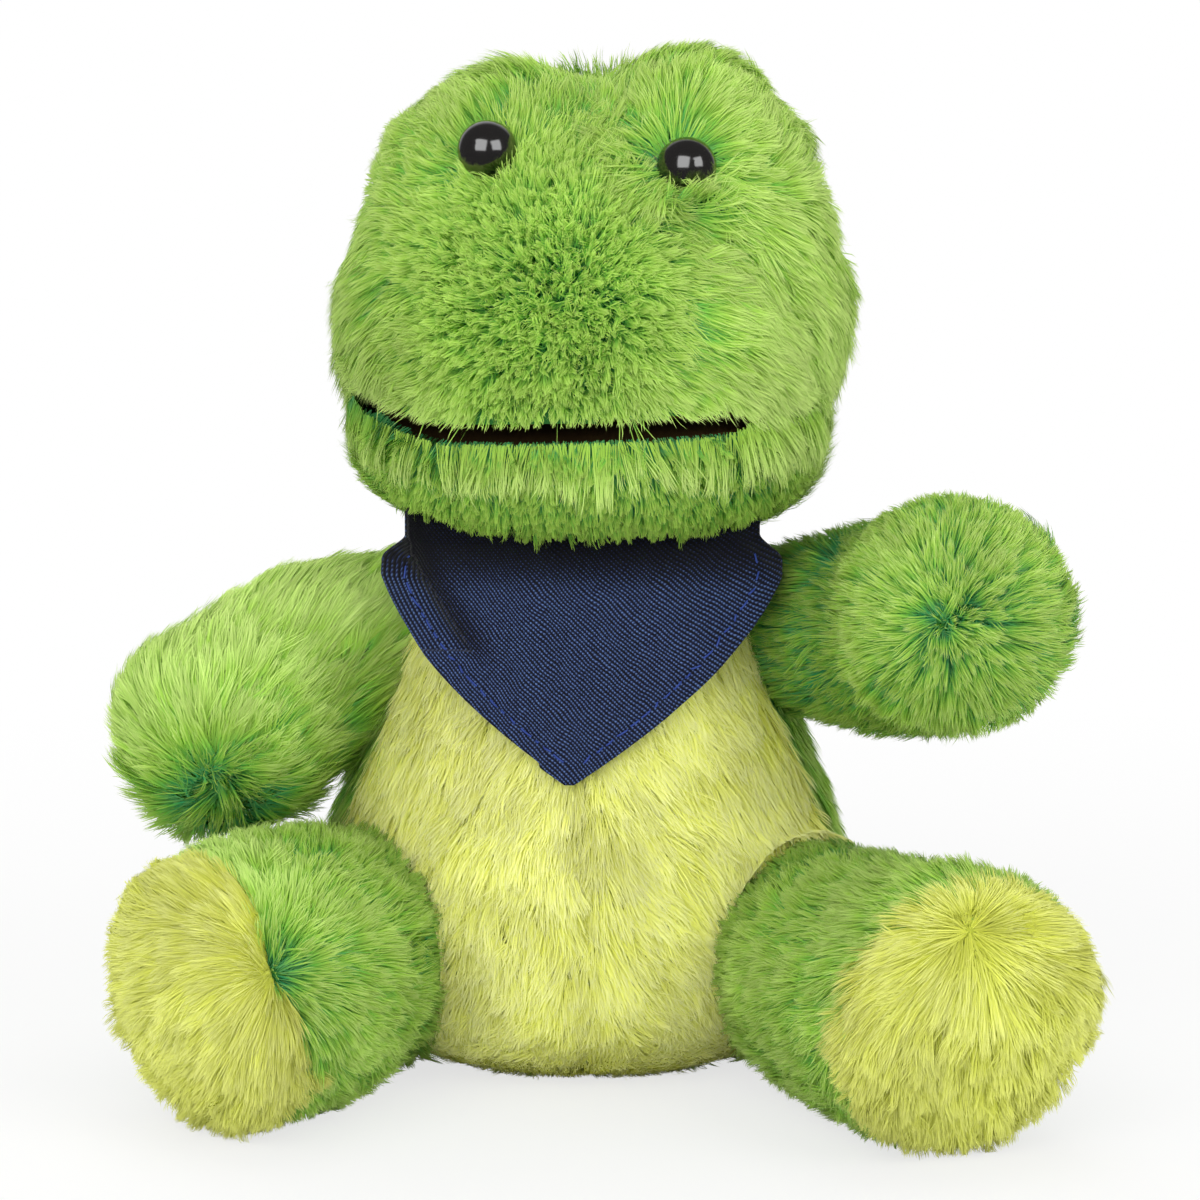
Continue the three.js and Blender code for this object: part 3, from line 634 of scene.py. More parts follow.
def head_fur():
    """Lying fur on the skull, standing tufts on the nose, and a jaw that hangs over a clipped chin."""
    rng = np.random.default_rng(11)
    finer = 1.7
    skin, normal = forms["head"].sample(rng, finer * DENSITY)
    local = world_to_head(skin)
    x, _, z = skin.T
    fine = (local[:, 1] < -12) & (np.hypot((x + 8) / 26, (z - 160) / 34) < 1)
    ok = ~in_mouth(skin, MOUTH_GAP) & (z > 114) & (fine | (rng.random(len(skin)) < 1 / finer))
    skin, normal, local = skin[ok], normal[ok], local[ok]
    x, _, z = skin.T
    aside, back, high = local.T

    eyes = [(side, *eye_place(side)) for side in (-1, 1)]
    nose = arr(-8, -56, 168)
    whorls = [(nose, 40, 3.0), (arr(-11, -46, 204), 16, 2.2), (arr(20, -44, 201), 16, 2.2)]
    whorls += [(seat + look * 3, 12, 2.0) for side, seat, look in eyes]
    base = np.stack([aside / 40, back / 60 + 0.2, 1.3 * ease(62, 80, high) - 0.55], 1)
    flow = whorl_flow(skin, normal, whorls, base)
    front = ease(5, -20, back)
    standing = (1 - ease(0.6, 1.5, np.hypot((x + 11) / 25, (z - 167) / 26))) * front
    lean = 0.74 - (0.72 - 0.14 * ease(3, 20, size_of(skin - nose))) * standing
    length = 11 - 2.5 * standing
    bend = 0.25 - 0.2 * standing
    # Painted light and shade: the standing nose tufts and the left cheek are painted paler, the right cheek
    # below the eye darker.
    shade = 0.16 * ease(10, 34, x) * ease(150, 165, z) + 0.34 * standing
    shade -= 0.24 * ease(-24, -34, x) * ease(166, 154, z)

    right_cheek = -3.4 * ease(36, 48, aside) * ease(174, 146, z)
    left_brow = -1.8 * ease(-8, -18, aside) * ease(198, 203, z)
    left_jaw = 2.2 * ease(-32, -38, aside) * ease(130, 122, z)
    temples = -1.2 * ease(38, 46, np.abs(aside)) * ease(168, 178, z)
    over = right_cheek + left_brow + left_jaw + temples

    tall = z - mouth_height(x)
    lip = front * hump(tall - 4, 6) * (tall > 0)
    lean = lean * (1 - 0.7 * lip)
    length = length * (1 - 0.25 * lip)
    # Painted light: the fur just above the slit is painted paler.
    shade += 0.25 * lip * (1 - standing)

    for side, seat, look in eyes:
        away = skin - seat
        away = away - (away @ look)[:, None] * look
        far = size_of(away)
        reach = 8.5 if side < 0 else 11
        below = ease(reach, reach - 3, far) * ease(0.4, 0.7, -away[:, 2] / far) * front
        toward = -away - normal * dot(-away, normal)
        flow = unit(flow * (1 - below[:, None]) + unit(toward) * below[:, None])
        toward_eye = 0.1 + 0.25 * ease(reach, 6, far) if side < 0 else 0.3
        lean = lean * (1 - below) + below * toward_eye
        over = over + below * (2.5 if side < 0 else 7.5)
        bend = bend * (1 - below)

    def clear(points, root):
        """Takes away the strands before the eyes, and nearly all of those before the mouth."""
        keep = np.ones(len(root), bool)
        spots = np.concatenate([points[:, 1:], (points[:, 1:] + points[:, :-1]) / 2], 1)
        for side, seat, look in eyes:
            away = spots - seat
            axial = away @ look
            window = (size_of(away - axial[..., None] * look) < 5.1) & (axial > -2)
            keep &= ~np.any(window & (away[..., 2] > (-4.0 if side < 0 else -0.3)), axis=1)
        for k in range(1, STEPS):
            keep &= ~(in_mouth(points[:, k], 1.7) & (rng.random(len(root)) < 0.93))
        return keep

    jaw = (back < -15) & (tall < 0)
    hang = jaw & (tall > -3.6)
    down = unit(-UP + normal * normal[:, 2:3] + np.outer(aside / 160, arr(1, 0, 0)))
    joined = jaw * ease(-14, -34, back)
    flow = unit(flow + (down - flow) * joined[:, None])

    def on_jaw(usual, hanging, at_chin):
        return usual + joined * (np.where(hang, hanging, at_chin) - usual)

    # The paler roots on the left side of the face are painted light.
    fresh = 0.4 - 0.06 * standing + 0.25 * ease(15, 40, x) * (1 - standing)
    loose = 0.9 - 0.6 * standing
    blunt = on_jaw(standing, standing, 1.0)
    parts = [("head_fur_right", ~jaw & (aside < 0), "head_panel_right"),
             ("head_fur_left", ~jaw & (aside >= 0), "head_panel_left"), ("jaw_fur", jaw, "jaw_panel")]
    # Painted light and shade on the jaw: the hanging row is painted paler, the chin tufts' roots darker.
    grow_parts(parts, "head", skin, normal, flow, green_fur, rng, tuft=1.05, shape=clear, bend=bend,
               blunt=blunt, spread=0.2 + 0.3 * blunt, width=0.2 - 0.02 * blunt, lean=on_jaw(lean, 0.55, 0.16),
               length=on_jaw(length, 10.5, 8), over=on_jaw(over, 2.0, 0.4), fresh=on_jaw(fresh, 0.75, -0.2),
               wild=on_jaw(0.14 + 0.06 * standing, 0.11, 0.16), loose=on_jaw(loose, loose, 0.4),
               droop=on_jaw(0.02, 0.2, 0.02), clump=on_jaw(0.45 + 0.4 * standing, 0.25, 0.85),
               shade=on_jaw(shade, 0.15, -0.02),
               parting=on_jaw(0.15 + 0.15 * front - 0.22 * standing, 0, 0.3))


# Torso

BAND_TOP, TIP_Z, CORNER_Z = 112.4, 66.0, 106.0
CORNER_HALF, TIP_HALF = 41.2, 0.3


def bandana_half(down):
    """Half width of the bandana at a share of the way from its neck band to its tip."""
    corner = (BAND_TOP - CORNER_Z) / (BAND_TOP - TIP_Z)
    below = np.clip((down - corner) / (1 - corner), 0, 1)
    return np.where(down < corner, CORNER_HALF * (0.88 + 0.12 * np.clip(down / corner, 0, 1)),
                    CORNER_HALF + (TIP_HALF - CORNER_HALF) * below + 22 * below * (1 - below))


def cloth_over(p):
    """Whether a spot on the torso lies under the bandana."""
    x, y, z = p[..., 0], p[..., 1], p[..., 2]
    half = bandana_half((BAND_TOP - z) / (BAND_TOP - TIP_Z)) * 0.97
    front = (y < 0) & (np.abs(x + 1) < half) & (z > TIP_Z + 1) & (z < BAND_TOP + 2)
    tails = (y > 0) & (np.abs(x) < 14) & (z > 82)
    return front | tails | (z > BAND_TOP - 7)


def under_cloth(points, root):
    """Presses the strands under the bandana flat, apart from the nape's above its band."""
    form = forms["torso"]
    for k in range(1, STEPS):
        p = points[:, k]
        covered = cloth_over(p) & ~((p[:, 1] > 4) & (p[:, 2] > BAND_TOP))
        high = form.value(p)
        push = np.where(covered & (high > -0.6), high + 0.6, 0)
        points[:, k] = p - form.gradient(p) * push[:, None]
    return np.ones(len(root), bool)


def torso_fur():
    """A short yellow-green belly with a parting along its seam, a green back, and a nape under the head."""
    rng = np.random.default_rng(12)
    skin, normal = forms["torso"].sample(rng, DENSITY)
    x, y, z = skin.T
    nape = (y > 4) & (z > 110.5)
    ok = (z < 111) | (nape & (np.hypot(x, y) > 12))
    skin, normal, nape = skin[ok], normal[ok], nape[ok]
    x, y, z = skin.T
    belly = y < -14
    zero = np.zeros(len(skin))
    base = np.stack([0.55 * np.clip(x / 12, -1, 1), zero, zero - 1], 1)
    base[normal[:, 2] < -0.75] = 0
    base += 0.6 * np.stack([x, y, zero], 1) / 50 * (z < 12)[:, None]
    flow = whorl_flow(skin, normal, [], base)
    seam = hump(x, 1.6)
    parts = [("belly_fur_right", belly & (x < 0), "belly_panel_right"),
             ("belly_fur_left", belly & (x >= 0), "belly_panel_left")]
    grow_parts(parts, "torso", skin, normal, flow, yellow_fur, rng, length=7.5 * (1 - 0.35 * seam), lean=0.74,
               tuft=0.9, lock=5, clump=0.3, width=0.17, wild=0.16, round_off=0.85, fresh=0.35 - 0.3 * seam,
               shade=0.12 - 0.3 * seam, parting=0.12, ragged=0.6, shape=under_cloth)
    grow_parts([("back_fur", ~belly, "back_panel")], "torso", skin, normal, flow, green_fur, rng, fresh=0.25,
               lean=np.where(nape, 0.2, 0.72), over=np.where(nape, 4.5, 0), parting=0.16, shape=under_cloth)


# Arms and legs

def arm_fur(side):
    name = f"{side}_arm"
    right = side == "right"
    limb, form = limbs[name], forms[name]
    rng = np.random.default_rng(13 if right else 14)
    skin, normal = form.sample(rng, DENSITY)
    whorl = arr(-73, -36, 59.5) if right else arr(71.8, -63.3, 101.6)
    flow = whorl_flow(skin, normal, [(whorl, 60, 4.0)], unit(limb.pivot - whorl))
    chord = unit(limb.end - limb.pivot)
    lift = unit(np.cross(np.cross(chord, UP), chord))
    over = 1.6 * ease(-0.2, -0.7, normal[:, 2])
    if right:
        mop = hump(size_of(skin - whorl), 26)
        lean = lean_by_whorl(skin, whorl, 0.35, 0.8, 10) - 0.12 * mop
        over += 3.2 * hump(size_of(skin - arr(-52, -2, 107)), 13)
        over -= 2.6 * hump(size_of(skin - arr(-84, -12, 92)), 15)
        # Painted light: the upper side of the arm is painted paler, in tone and in its roots.
        upper = ease(-8, 12, (skin - limb.end) @ lift)
        shade = 0.3 * upper
        fresh = (0.6 + 0.5 * upper) * np.maximum(lean, 0.5)
    else:
        mop = np.zeros(len(skin))
        lean = lean_by_whorl(skin, whorl, 0.1, 0.7, 26)
        over += 1.8 * ease(86, 96, skin[:, 0])
        # Painted shade: the arm is painted darker, with darker roots, where it turns in towards the body.
        inward = ease(-16, 6, skin[:, 1] - limb.end[1])
        shade = -0.5 * inward
        fresh = (0.25 - 0.9 * inward) * lean
    above = (skin - limb.pivot) @ lift > 0
    parts = [(f"{name}_fur_upper", above, f"{name}_upper_panel"),
             (f"{name}_fur_lower", ~above, f"{name}_lower_panel")]
    grow_parts(parts, name, skin, normal, flow, green_fur, rng, length=12, lean=lean, wild=0.12 + 0.11 * mop,
               over=over, parting=0.3 + 0.1 * mop, ragged=1 + 0.9 * mop, fresh=fresh, shade=shade)


def leg_fur(side):
    """A leg's two furs, painted darker where it meets the torso as shade, and the sole, cut off at its own
    edge.
    """
    name = f"{side}_leg"
    right = side == "right"
    limb, form = limbs[name], forms[name]
    rng = np.random.default_rng(15 if right else 16)
    skin, normal = form.sample(rng, DENSITY)
    whorl = arr(-55, -87.3, 39.5) if right else arr(77.6, -100.5, 49.5)
    whorls = [(whorl, 60, 4.0)]
    base = unit(limb.pivot - limb.end)

    def before_edge(p):
        """How far a spot lies before the end, and whether that is on the sole's side of its edge."""
        above = p[:, 2] - whorl[2]
        edge = -2 - 4 * ease(0, -22, above) if right else -1 + 3.6 * ease(4, 16, above)
        ahead = (p - limb.end) @ limb.facing
        return ahead, ahead > edge

    ahead, sole = before_edge(skin)
    inward = unit(np.cross(limb.end - limb.pivot, UP)) * (-1 if right else 1)
    inner = (skin - limb.pivot) @ inward > 0
    hip = ease(24, 8, forms["torso"].value(skin))
    along = (skin - limb.pivot) @ unit(limb.end - limb.pivot) / size_of(limb.end - limb.pivot)
    lean = lean_by_whorl(skin, whorl, 0.35, 0.72, 16) - 0.45 * hip
    # Painted shade and light in the roots: darker near the torso, paler by the whorl.
    fresh = (0.45 - 0.9 * hip) * lean + 0.12 * ease(12, 2, size_of(skin - whorl))
    over = 1.2 * ease(-0.3, -0.8, normal[:, 2])
    if right:
        # Painted light: the upward top of the right foot next to the sole is painted paler; painted shade
        # darkens the fur near the torso.
        painted_light_top = ease(0.35, 0.8, normal[:, 2]) * ease(-26, -8, ahead)
        over += 1.2 * ease(-0.3, -0.8, normal[:, 0])
        fresh = fresh + 0.45 * painted_light_top
        painted_shade = 0.55 * hip - 0.25 * painted_light_top
    else:
        over -= 4.0 * ease(1.0, 0.7, along) * ease(0.3, 0.8, normal[:, 2])
        # Painted shade near the torso, and a little over the whole left leg.
        painted_shade = 0.55 * hip + 0.06
    parts = [(f"{name}_fur_inner", ~sole & inner, f"{name}_inner_panel"),
             (f"{name}_fur_outer", ~sole & ~inner, f"{name}_outer_panel")]
    grow_parts(parts, name, skin, normal, whorl_flow(skin, normal, whorls, base), green_fur, rng, length=11.5,
               lean=lean, fresh=fresh, over=over, shade=0.08 - painted_shade, parting=0.3 + 0.4 * hip,
               clump=0.55 + 0.25 * hip, blunt=0.6 * hip)

    skin, normal = form.sample(rng, 1.5 * DENSITY)
    ahead, sole = before_edge(skin)
    skin, normal, ahead = skin[sole], normal[sole], ahead[sole]
    # Painted light and shade: the sole is painted paler in its middle and darker towards its rim.
    rim = size_of(skin - limb.end - ahead[:, None] * limb.facing) / 29
    low = ease(6, 26, whorl[2] - skin[:, 2])
    lean = np.minimum(lean_by_whorl(skin, whorl, 0.55, 0.86, 16), 0.86) - 0.3 * low
    grow(f"{side}_sole_fur", name, skin, normal, whorl_flow(skin, normal, whorls, base), sole_fur,
         f"{side}_foot_sole", rng, length=12, lean=lean, bend=0.15, lock=5, tuft=1.4, clump=0.25 + 0.4 * low,
         width=0.16, wild=0.13 + 0.05 * low, round_off=0.9, fresh=0.6 - 0.3 * rim ** 2,
         shade=0.22 - 0.3 * rim ** 3, parting=0.12 + 0.2 * low, blunt=0.8 * low)


# Backings

BACKING_DEPTH = 7.2


def backings():
    """The knitted backing of each soft body, stuffed tight."""
    material = backing_material()
    for name, form in forms.items():
        verts = form.verts - form.normals * BACKING_DEPTH
        verts[:, 2] = np.maximum(verts[:, 2], 1.2)
        quads = form.quads
        yellow = np.zeros(len(verts))
        if name == "head":
            quads = quads[~in_mouth(verts[quads].mean(1), 2.4)]
        if name == "torso":
            yellow = ease(-13, -15, form.verts[:, 1])
        if name in ("right_leg", "left_leg"):
            limb = limbs[name]
            yellow = ease(-2, 0, (form.verts - limb.end) @ limb.facing)
        obj = make_mesh(f"{name}_backing", verts, quads, material, colors=np.outer(yellow, arr(1, 1, 1, 1)),
                        body=name)
        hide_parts(f"{name}_stuffing")


# Eyes

EYE_RADIUS = 6
SHANK_RADIUS, SHANK_END = 2, -15


def lathe(profile, sides, seat, look):
    """A turned solid about the look direction, from its back to its front."""
    angle = np.linspace(0, 2 * np.pi, sides, endpoint=False)
    across = unit(np.cross(UP, look))
    lift = np.cross(look, across)
    rings = [seat + look * along + out * (np.cos(angle)[:, None] * across + np.sin(angle)[:, None] * lift)
             for out, along in profile]
    return np.vstack(rings), grid_faces(len(profile), sides)


def eyes():
    """Each safety eye: a shank with a rounded end, a flat back with a rim, and the dome."""
    material = speckled("eye_black", {"Scale": 300}, [(0.3, "070505"), (0.8, "14100E")],
                        {"Roughness": 0.14, "IOR": 1.7, "Specular IOR Level": 1.0})[0]
    profile = [(0.02, SHANK_END), (SHANK_RADIUS - 0.3, SHANK_END), (SHANK_RADIUS, SHANK_END + 0.3),
               (SHANK_RADIUS, -0.3), (SHANK_RADIUS + 0.3, 0), (EYE_RADIUS - 0.3, 0), (EYE_RADIUS, 0.25)]
    profile += [(EYE_RADIUS * math.cos(a), 0.4 + 6.8 * math.sin(a))
                for a in np.linspace(0.02, np.pi / 2 - 0.01, 22)]
    for side, name in ((-1, "eye_right"), (1, "eye_left")):
        verts, quads = lathe(profile, 56, *eye_place(side))
        obj = make_mesh(name + "_dome", verts, quads, material, body="head")
        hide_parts(name)


def washers():
    """The moulded lock washers behind the eyes keep the shape that the CAD gives them."""
    material = speckled("washer_white", {"Scale": 220}, [(0.3, "DCDCD4"), (0.7, "EFEFE8")],
                        {"Roughness": 0.45})[0]
    for node in ("eye_washer_right", "eye_washer_left"):
        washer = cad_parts[node]
        washer.data.materials.clear()
        washer.data.materials.append(material)


# Mouth

FELT = 0.9


def solid_sheet(inner, outer, wrap=False):
    """A closed sheet from two equal grids of points; the second lies on the side that faces out."""
    rows, columns = inner.shape[:2]
    count = rows * columns
    faces = [grid_faces(rows, columns, wrap)[:, ::-1], grid_faces(rows, columns, wrap) + count]
    rim = [np.arange(columns), (rows - 1) * columns + np.arange(columns)[::-1]]
    if not wrap:
        rim = [np.concatenate([np.arange(columns), np.arange(1, rows) * columns + columns - 1,
                               (rows - 1) * columns + np.arange(columns - 1)[::-1],
                               np.arange(1, rows - 1)[::-1] * columns])]
    for edge in rim:
        after = np.roll(edge, -1)
        faces.append(np.stack([edge, after, after + count, edge + count], 1))
    return np.vstack([inner.reshape(-1, 3), outer.reshape(-1, 3)]), np.vstack(faces)


def felt_material():
    material, tree, shader, grain = speckled("mouth_felt", {"Scale": 1400, "Detail": 6},
                                             [(0.3, "261A0C"), (0.75, "5E4626")],
                                             {"Roughness": 0.95, "Specular IOR Level": 0.1})
    bumpy(tree, shader, grain, 0.5, 0.0003)
    return material


def mouth():
    """Two leaves of dark felt that open towards the lips and meet far inside."""
    steps = [(0, 2.6), (1, 2.3), (3, 1.9), (7, 1.3), (14, 0.8), (22, 0.3), (27, 0.12)]
    steps = steps + [(back, -high) for back, high in steps[::-1]]
    ray = np.linspace(0, 62, 249)
    rows = []
    for x in np.linspace(-47, 47, 90):
        height = mouth_height(x + HEAD_AT[0]) - HEAD_AT[2]
        spots = head_to_world(np.stack([np.full(len(ray), x), -ray, np.full(len(ray), height)], 1))
        inside = ray[head_value(spots) < -7.3]
        reach = inside.max() if len(inside) else 8.0
        narrow = 1 - 0.35 * float(ease(4, 34, x)) - 0.5 * float(ease(38, 47, abs(x)))
        rows.append([[x, -max(reach - back, 2.0), height + high * narrow] for back, high in steps])
    inner = np.array(rows)
    outer = inner + np.where(np.arange(len(steps)) < len(steps) / 2, FELT, -FELT)[None, :, None] * UP
    verts, quads = solid_sheet(head_to_world(outer), head_to_world(inner))
    obj = make_mesh("mouth_felt", verts, quads, felt_material(), body="head")
    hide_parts("mouth_lining")


# Bandana

CLOTH_TOP = 120.0
HEM = 3.6
UV_MM = 100
WALE, LOOP = 0.74, 0.62
SLOPE = 0.72
CREASE = [(90, -21), (97, -25.5), (103.2, -29.7), (110.6, -34.7), (114, -35.5), (118, -35.7)]
TAIL_HALVES = arr(0.35, 0.45, 0.5, 0.5, 0.4, 0.2) * 13


def knit_material():
    """Fine navy knit: slanting wales of small loops, with the hem's wales along its edge, painted shadow
    under the chin and painted shade beside the crease.
    """
    material, tree, shader = new_material("bandana_knit")

    def calc(operation, *values):
        return add(tree, "Math", dict(enumerate(values)), operation=operation).outputs[0]

    plus, minus, times = (partial(calc, operation) for operation in ("ADD", "SUBTRACT", "MULTIPLY"))
    uv = add(tree, "UVMap", uv_map="cloth").outputs["UV"]
    place = add(tree, "SeparateXYZ", {0: uv}).outputs
    drift = noise(tree, {"Scale": 12, "Vector": uv})
    x, z = plus(place["X"], times(minus(drift, 0.5), 0.03)), place["Y"]
    (to_edge, in_hem, painted_crease_shade), fanned = strand_data(tree)
    fan = times(times(times(x, x), 0.4), fanned)
    slanted = minus(plus(times(x, 0.669), times(z, 0.743)), fan)
    lengthwise = minus(times(x, 0.743), times(z, 0.669))
    cross = plus(times(slanted, minus(1, in_hem)), times(to_edge, in_hem))
    wale = calc("SINE", times(cross, UV_MM * 2 * math.pi / WALE))
    loop = calc("SINE", plus(times(lengthwise, UV_MM * 2 * math.pi / LOOP), times(wale, 1.1)))
    relief = times(calc("MULTIPLY_ADD", wale, 0.42, 0.6), calc("MULTIPLY_ADD", loop, 0.24, 0.76))
    grain = noise(tree, {"Scale": 1100, "Detail": 4})
    worn = noise(tree, {"Scale": 90, "Detail": 3})
    # Painted shadow: the knit is painted darker towards its top, under the chin.
    neck = add(tree, "MapRange", {"Value": z, "From Min": 1.03, "From Max": 1.13, "To Max": 0.3},
               interpolation_type="SMOOTHSTEP").outputs["Result"]
    shade = plus(plus(times(relief, 0.62), times(grain, 0.5)), times(minus(worn, 0.5), 0.35))
    # Painted shade along the crease darkens the knit here too.
    shade = minus(minus(shade, neck), times(painted_crease_shade, 0.2))
    color = ramp(tree, shade, [(0.34, "01020A"), (0.58, "121B40"), (0.92, "5874A8")])
    plug(tree, shader, {"Base Color": color, "Roughness": 0.85, "Sheen Weight": 0.12,
                        "Specular IOR Level": 0.25})
    bumpy(tree, shader, relief, 0.7, 0.00025)
    return material


def knit_piece(name, verts, quads, knit, flat, data=None):
    """A mesh of the bandana; flat says where on the cloth each spot of its faces lies."""
    flat = np.stack(flat, -1).reshape(-1, 2)
    data = np.zeros((len(flat), 4)) if data is None else data
    sides = len(verts) // len(flat)
    piece = make_mesh(name, verts, quads, knit, uvs=np.tile(flat, (sides, 1)),
                      colors=np.tile(data, (sides, 1)), body="torso")
    return piece


def cloth_half(z):
    """Half width of the cloth from the front, with its standing neck part, and the share of the way down."""
    below = (BAND_TOP - z) / (BAND_TOP - TIP_Z)
    neck = 36.4 + 4.8 * ease(114.5, 109.0, z)
    return np.where(z > CORNER_Z, neck, bandana_half(below)), below


def crease_x(z):
    """Where the cloth's turned edge runs."""
    heights, places = zip(*CREASE)
    return np.interp(z, heights, places)


def bandana_surface(u, down, lift):
    """A spot on the cloth: across it from -1 to 1, down it from 0 to 1, and out from its inner face."""
    z = CLOTH_TOP + (TIP_Z - CLOTH_TOP) * down
    half, below = cloth_half(z)
    shift = 2 * np.clip(below, 0, 1)
    x = u * half - shift
    step = 1.3 * ease(0.9, 0.93, below) * (u < -0.5)
    x = x - step * np.abs(u)
    chest = torso_half(np.minimum(z, NECK)) * TORSO_FLAT + 0.6
    wrap = (1 - np.minimum(np.abs(x) / 47.04, 0.99) ** 4) ** 0.25
    fold = 1.3 * np.sin(1.5 * np.pi * u) ** 2 * (1 - np.clip(below, 0, 1))
    past = x - crease_x(z)
    fade = ease(90, 97, z)
    turned = fade * ease(0.8, -1.5, past)
    fold = fold + fade * 1.6 * hump(past, 1.6) - turned * 0.35 * np.maximum(-past, 0)
    fold = fold + 0.5 * np.sin(0.32 * x + 0.21 * z) * hump(z - 95, 16)
    fold = fold + 0.9 * hump(x - 33 + 1.1 * (z - 112), 2.5) * ease(102, 108, z)
    to_edge = np.maximum(half - np.abs(x + shift), 0) * SLOPE
    hem = np.where(z < 109, 0.35 * (to_edge < HEM) - 0.3 * hump(to_edge - HEM, 0.5), 0)
    return np.stack([x, -chest * wrap - fold - lift * (1.1 + hem), z + 0 * x], -1), to_edge


def bandana():
    """The draped triangle, the band round the neck, the two wings between them, the stitches and the knot."""
    knit = knit_material()
    u, down = np.meshgrid(np.linspace(-1, 1, 150), np.linspace(0, 1, 130))
    inner, to_edge = bandana_surface(u, down, 0.0)
    outer, _ = bandana_surface(u, down, 1.0)
    verts, quads = solid_sheet(inner, outer)
    x, z = inner[..., 0], inner[..., 2]
    past = x - crease_x(z)
    turned = (past < 0) & (z > 92)
    # Painted shade in a band along the crease.
    painted_crease_shade = ease(88, 96, z) * hump(np.maximum(past, -2 * past), 4)
    data = np.stack([to_edge / UV_MM, turned, painted_crease_shade, np.ones_like(z)], -1).reshape(-1, 4)
    cloth = knit_piece("bandana_cloth", verts, quads, knit, (x / UV_MM, z / UV_MM), data)
    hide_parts("bandana")

    a, r = np.meshgrid(np.linspace(0, 2 * np.pi, 200, endpoint=False), np.linspace(0, 1, 12))
    z = BAND_TOP - 5.6 + 6.4 * r
    half = torso_half(np.minimum(z, NECK))
    rings = []
    for lift in (0.3, 1.0):
        bulge = lift * (1.6 + 0.5 * np.sin(3.2 * np.pi * r + 1.5 * np.sin(3 * a)) + 0.5 * np.sin(np.pi * r))
        bulge = bulge - 1.5 * (np.sin(a) < -0.2) * lift
        rings.append(np.stack([(half + bulge) * np.cos(a), (half * TORSO_FLAT + bulge) * np.sin(a), z], -1))
    verts, quads = solid_sheet(*rings, wrap=True)
    band = knit_piece("bandana_band", verts, quads, knit, (a * 0.36, r * 0.064))
    wings = [bandana_wing(side, name, knit) for side, name in ((-1, "right"), (1, "left"))]
    stitches = hem_stitches()
    knot(knit)


def bandana_wing(side, name, knit):
    """The cloth's corner as it goes round the side of the neck to the band."""
    t, r = np.meshgrid(np.linspace(0, 1, 40), np.linspace(0, 1, 30))
    z = 103.5 + 15.5 * r
    down = (CLOTH_TOP - z) / (CLOTH_TOP - TIP_Z)
    edge, _ = bandana_surface(np.full_like(r, 0.985 * side), down, 0.5)
    angle = 0.5 if side > 0 else np.pi - 0.5
    level = BAND_TOP - 5.4 + 5.8 * r
    half = torso_half(level)
    band = np.stack([(half + 2) * np.cos(angle), (half * TORSO_FLAT + 2) * np.sin(angle), level], -1)
    path = edge * (1 - t[..., None]) + band * t[..., None]
    out = unit(path * arr(1, 1, 0))
    path = path + out * (2.6 * np.sin(np.pi * t) ** 1.2 * (0.8 + 0.4 * np.sin(7 * r + 2 * t)))[..., None]
    verts, quads = solid_sheet(path - out * 0.5, path + out * 0.5)
    if side > 0:
        quads = quads[:, ::-1]
    return knit_piece(f"bandana_wing_{name}", verts, quads, knit, (t * 0.3, r * 0.12))


def hem_stitches():
    """Running stitches of blue thread along both sloping hems, not quite even."""
    rng = np.random.default_rng(21)
    out = arr(0, -1, 0)
    rounds, corners, radius = 7, 6, 0.19
    verts, faces = [], []
    for side in (-1, 1):
        spots = []
        for down in np.linspace(0.16, 0.93, 400):
            half = float(cloth_half(np.array(CLOTH_TOP + (TIP_Z - CLOTH_TOP) * down))[0])
            u = side * max(half - HEM / SLOPE, 0.5) / half
            spots.append(bandana_surface(np.array(u), np.array(down), 1.0)[0])
        spots = np.array(spots)
        run = np.concatenate([[0], np.cumsum(size_of(np.diff(spots, axis=0)))])
        at = 1.0
        while at < run[-1] - 3:
            long = 1.7 + 0.9 * rng.random()
            a, b = (np.array([np.interp(d, run, spots[:, k]) for k in range(3)]) for d in (at, at + long))
            skew = rng.normal(size=3) * arr(0.22, 0, 0.22)
            a, b = a - skew, b + skew
            wide = unit(np.cross(unit(b - a), out))
            faces.append(grid_faces(rounds, corners) + sum(len(v) for v in verts))
            rings = []
            for t in np.linspace(0, 1, rounds):
                centre = a + (b - a) * t + out * (0.42 * math.sin(math.pi * t) - 0.12)
                rings.append([centre + radius * (math.cos(w) * wide + math.sin(w) * out)
                              for w in np.linspace(0, 2 * np.pi, corners, endpoint=False)])
            verts.append(np.array(rings).reshape(-1, 3))
            at += long + 1.0 + 0.5 * rng.random()
    stops = [(0.3, "162C78"), (0.7, "2C4CA6")]
    thread = speckled("hem_thread", {"Scale": 1500}, stops, {"Roughness": 0.6})[0]
    return make_mesh("bandana_stitches", np.vstack(verts), np.vstack(faces), thread, body="torso")


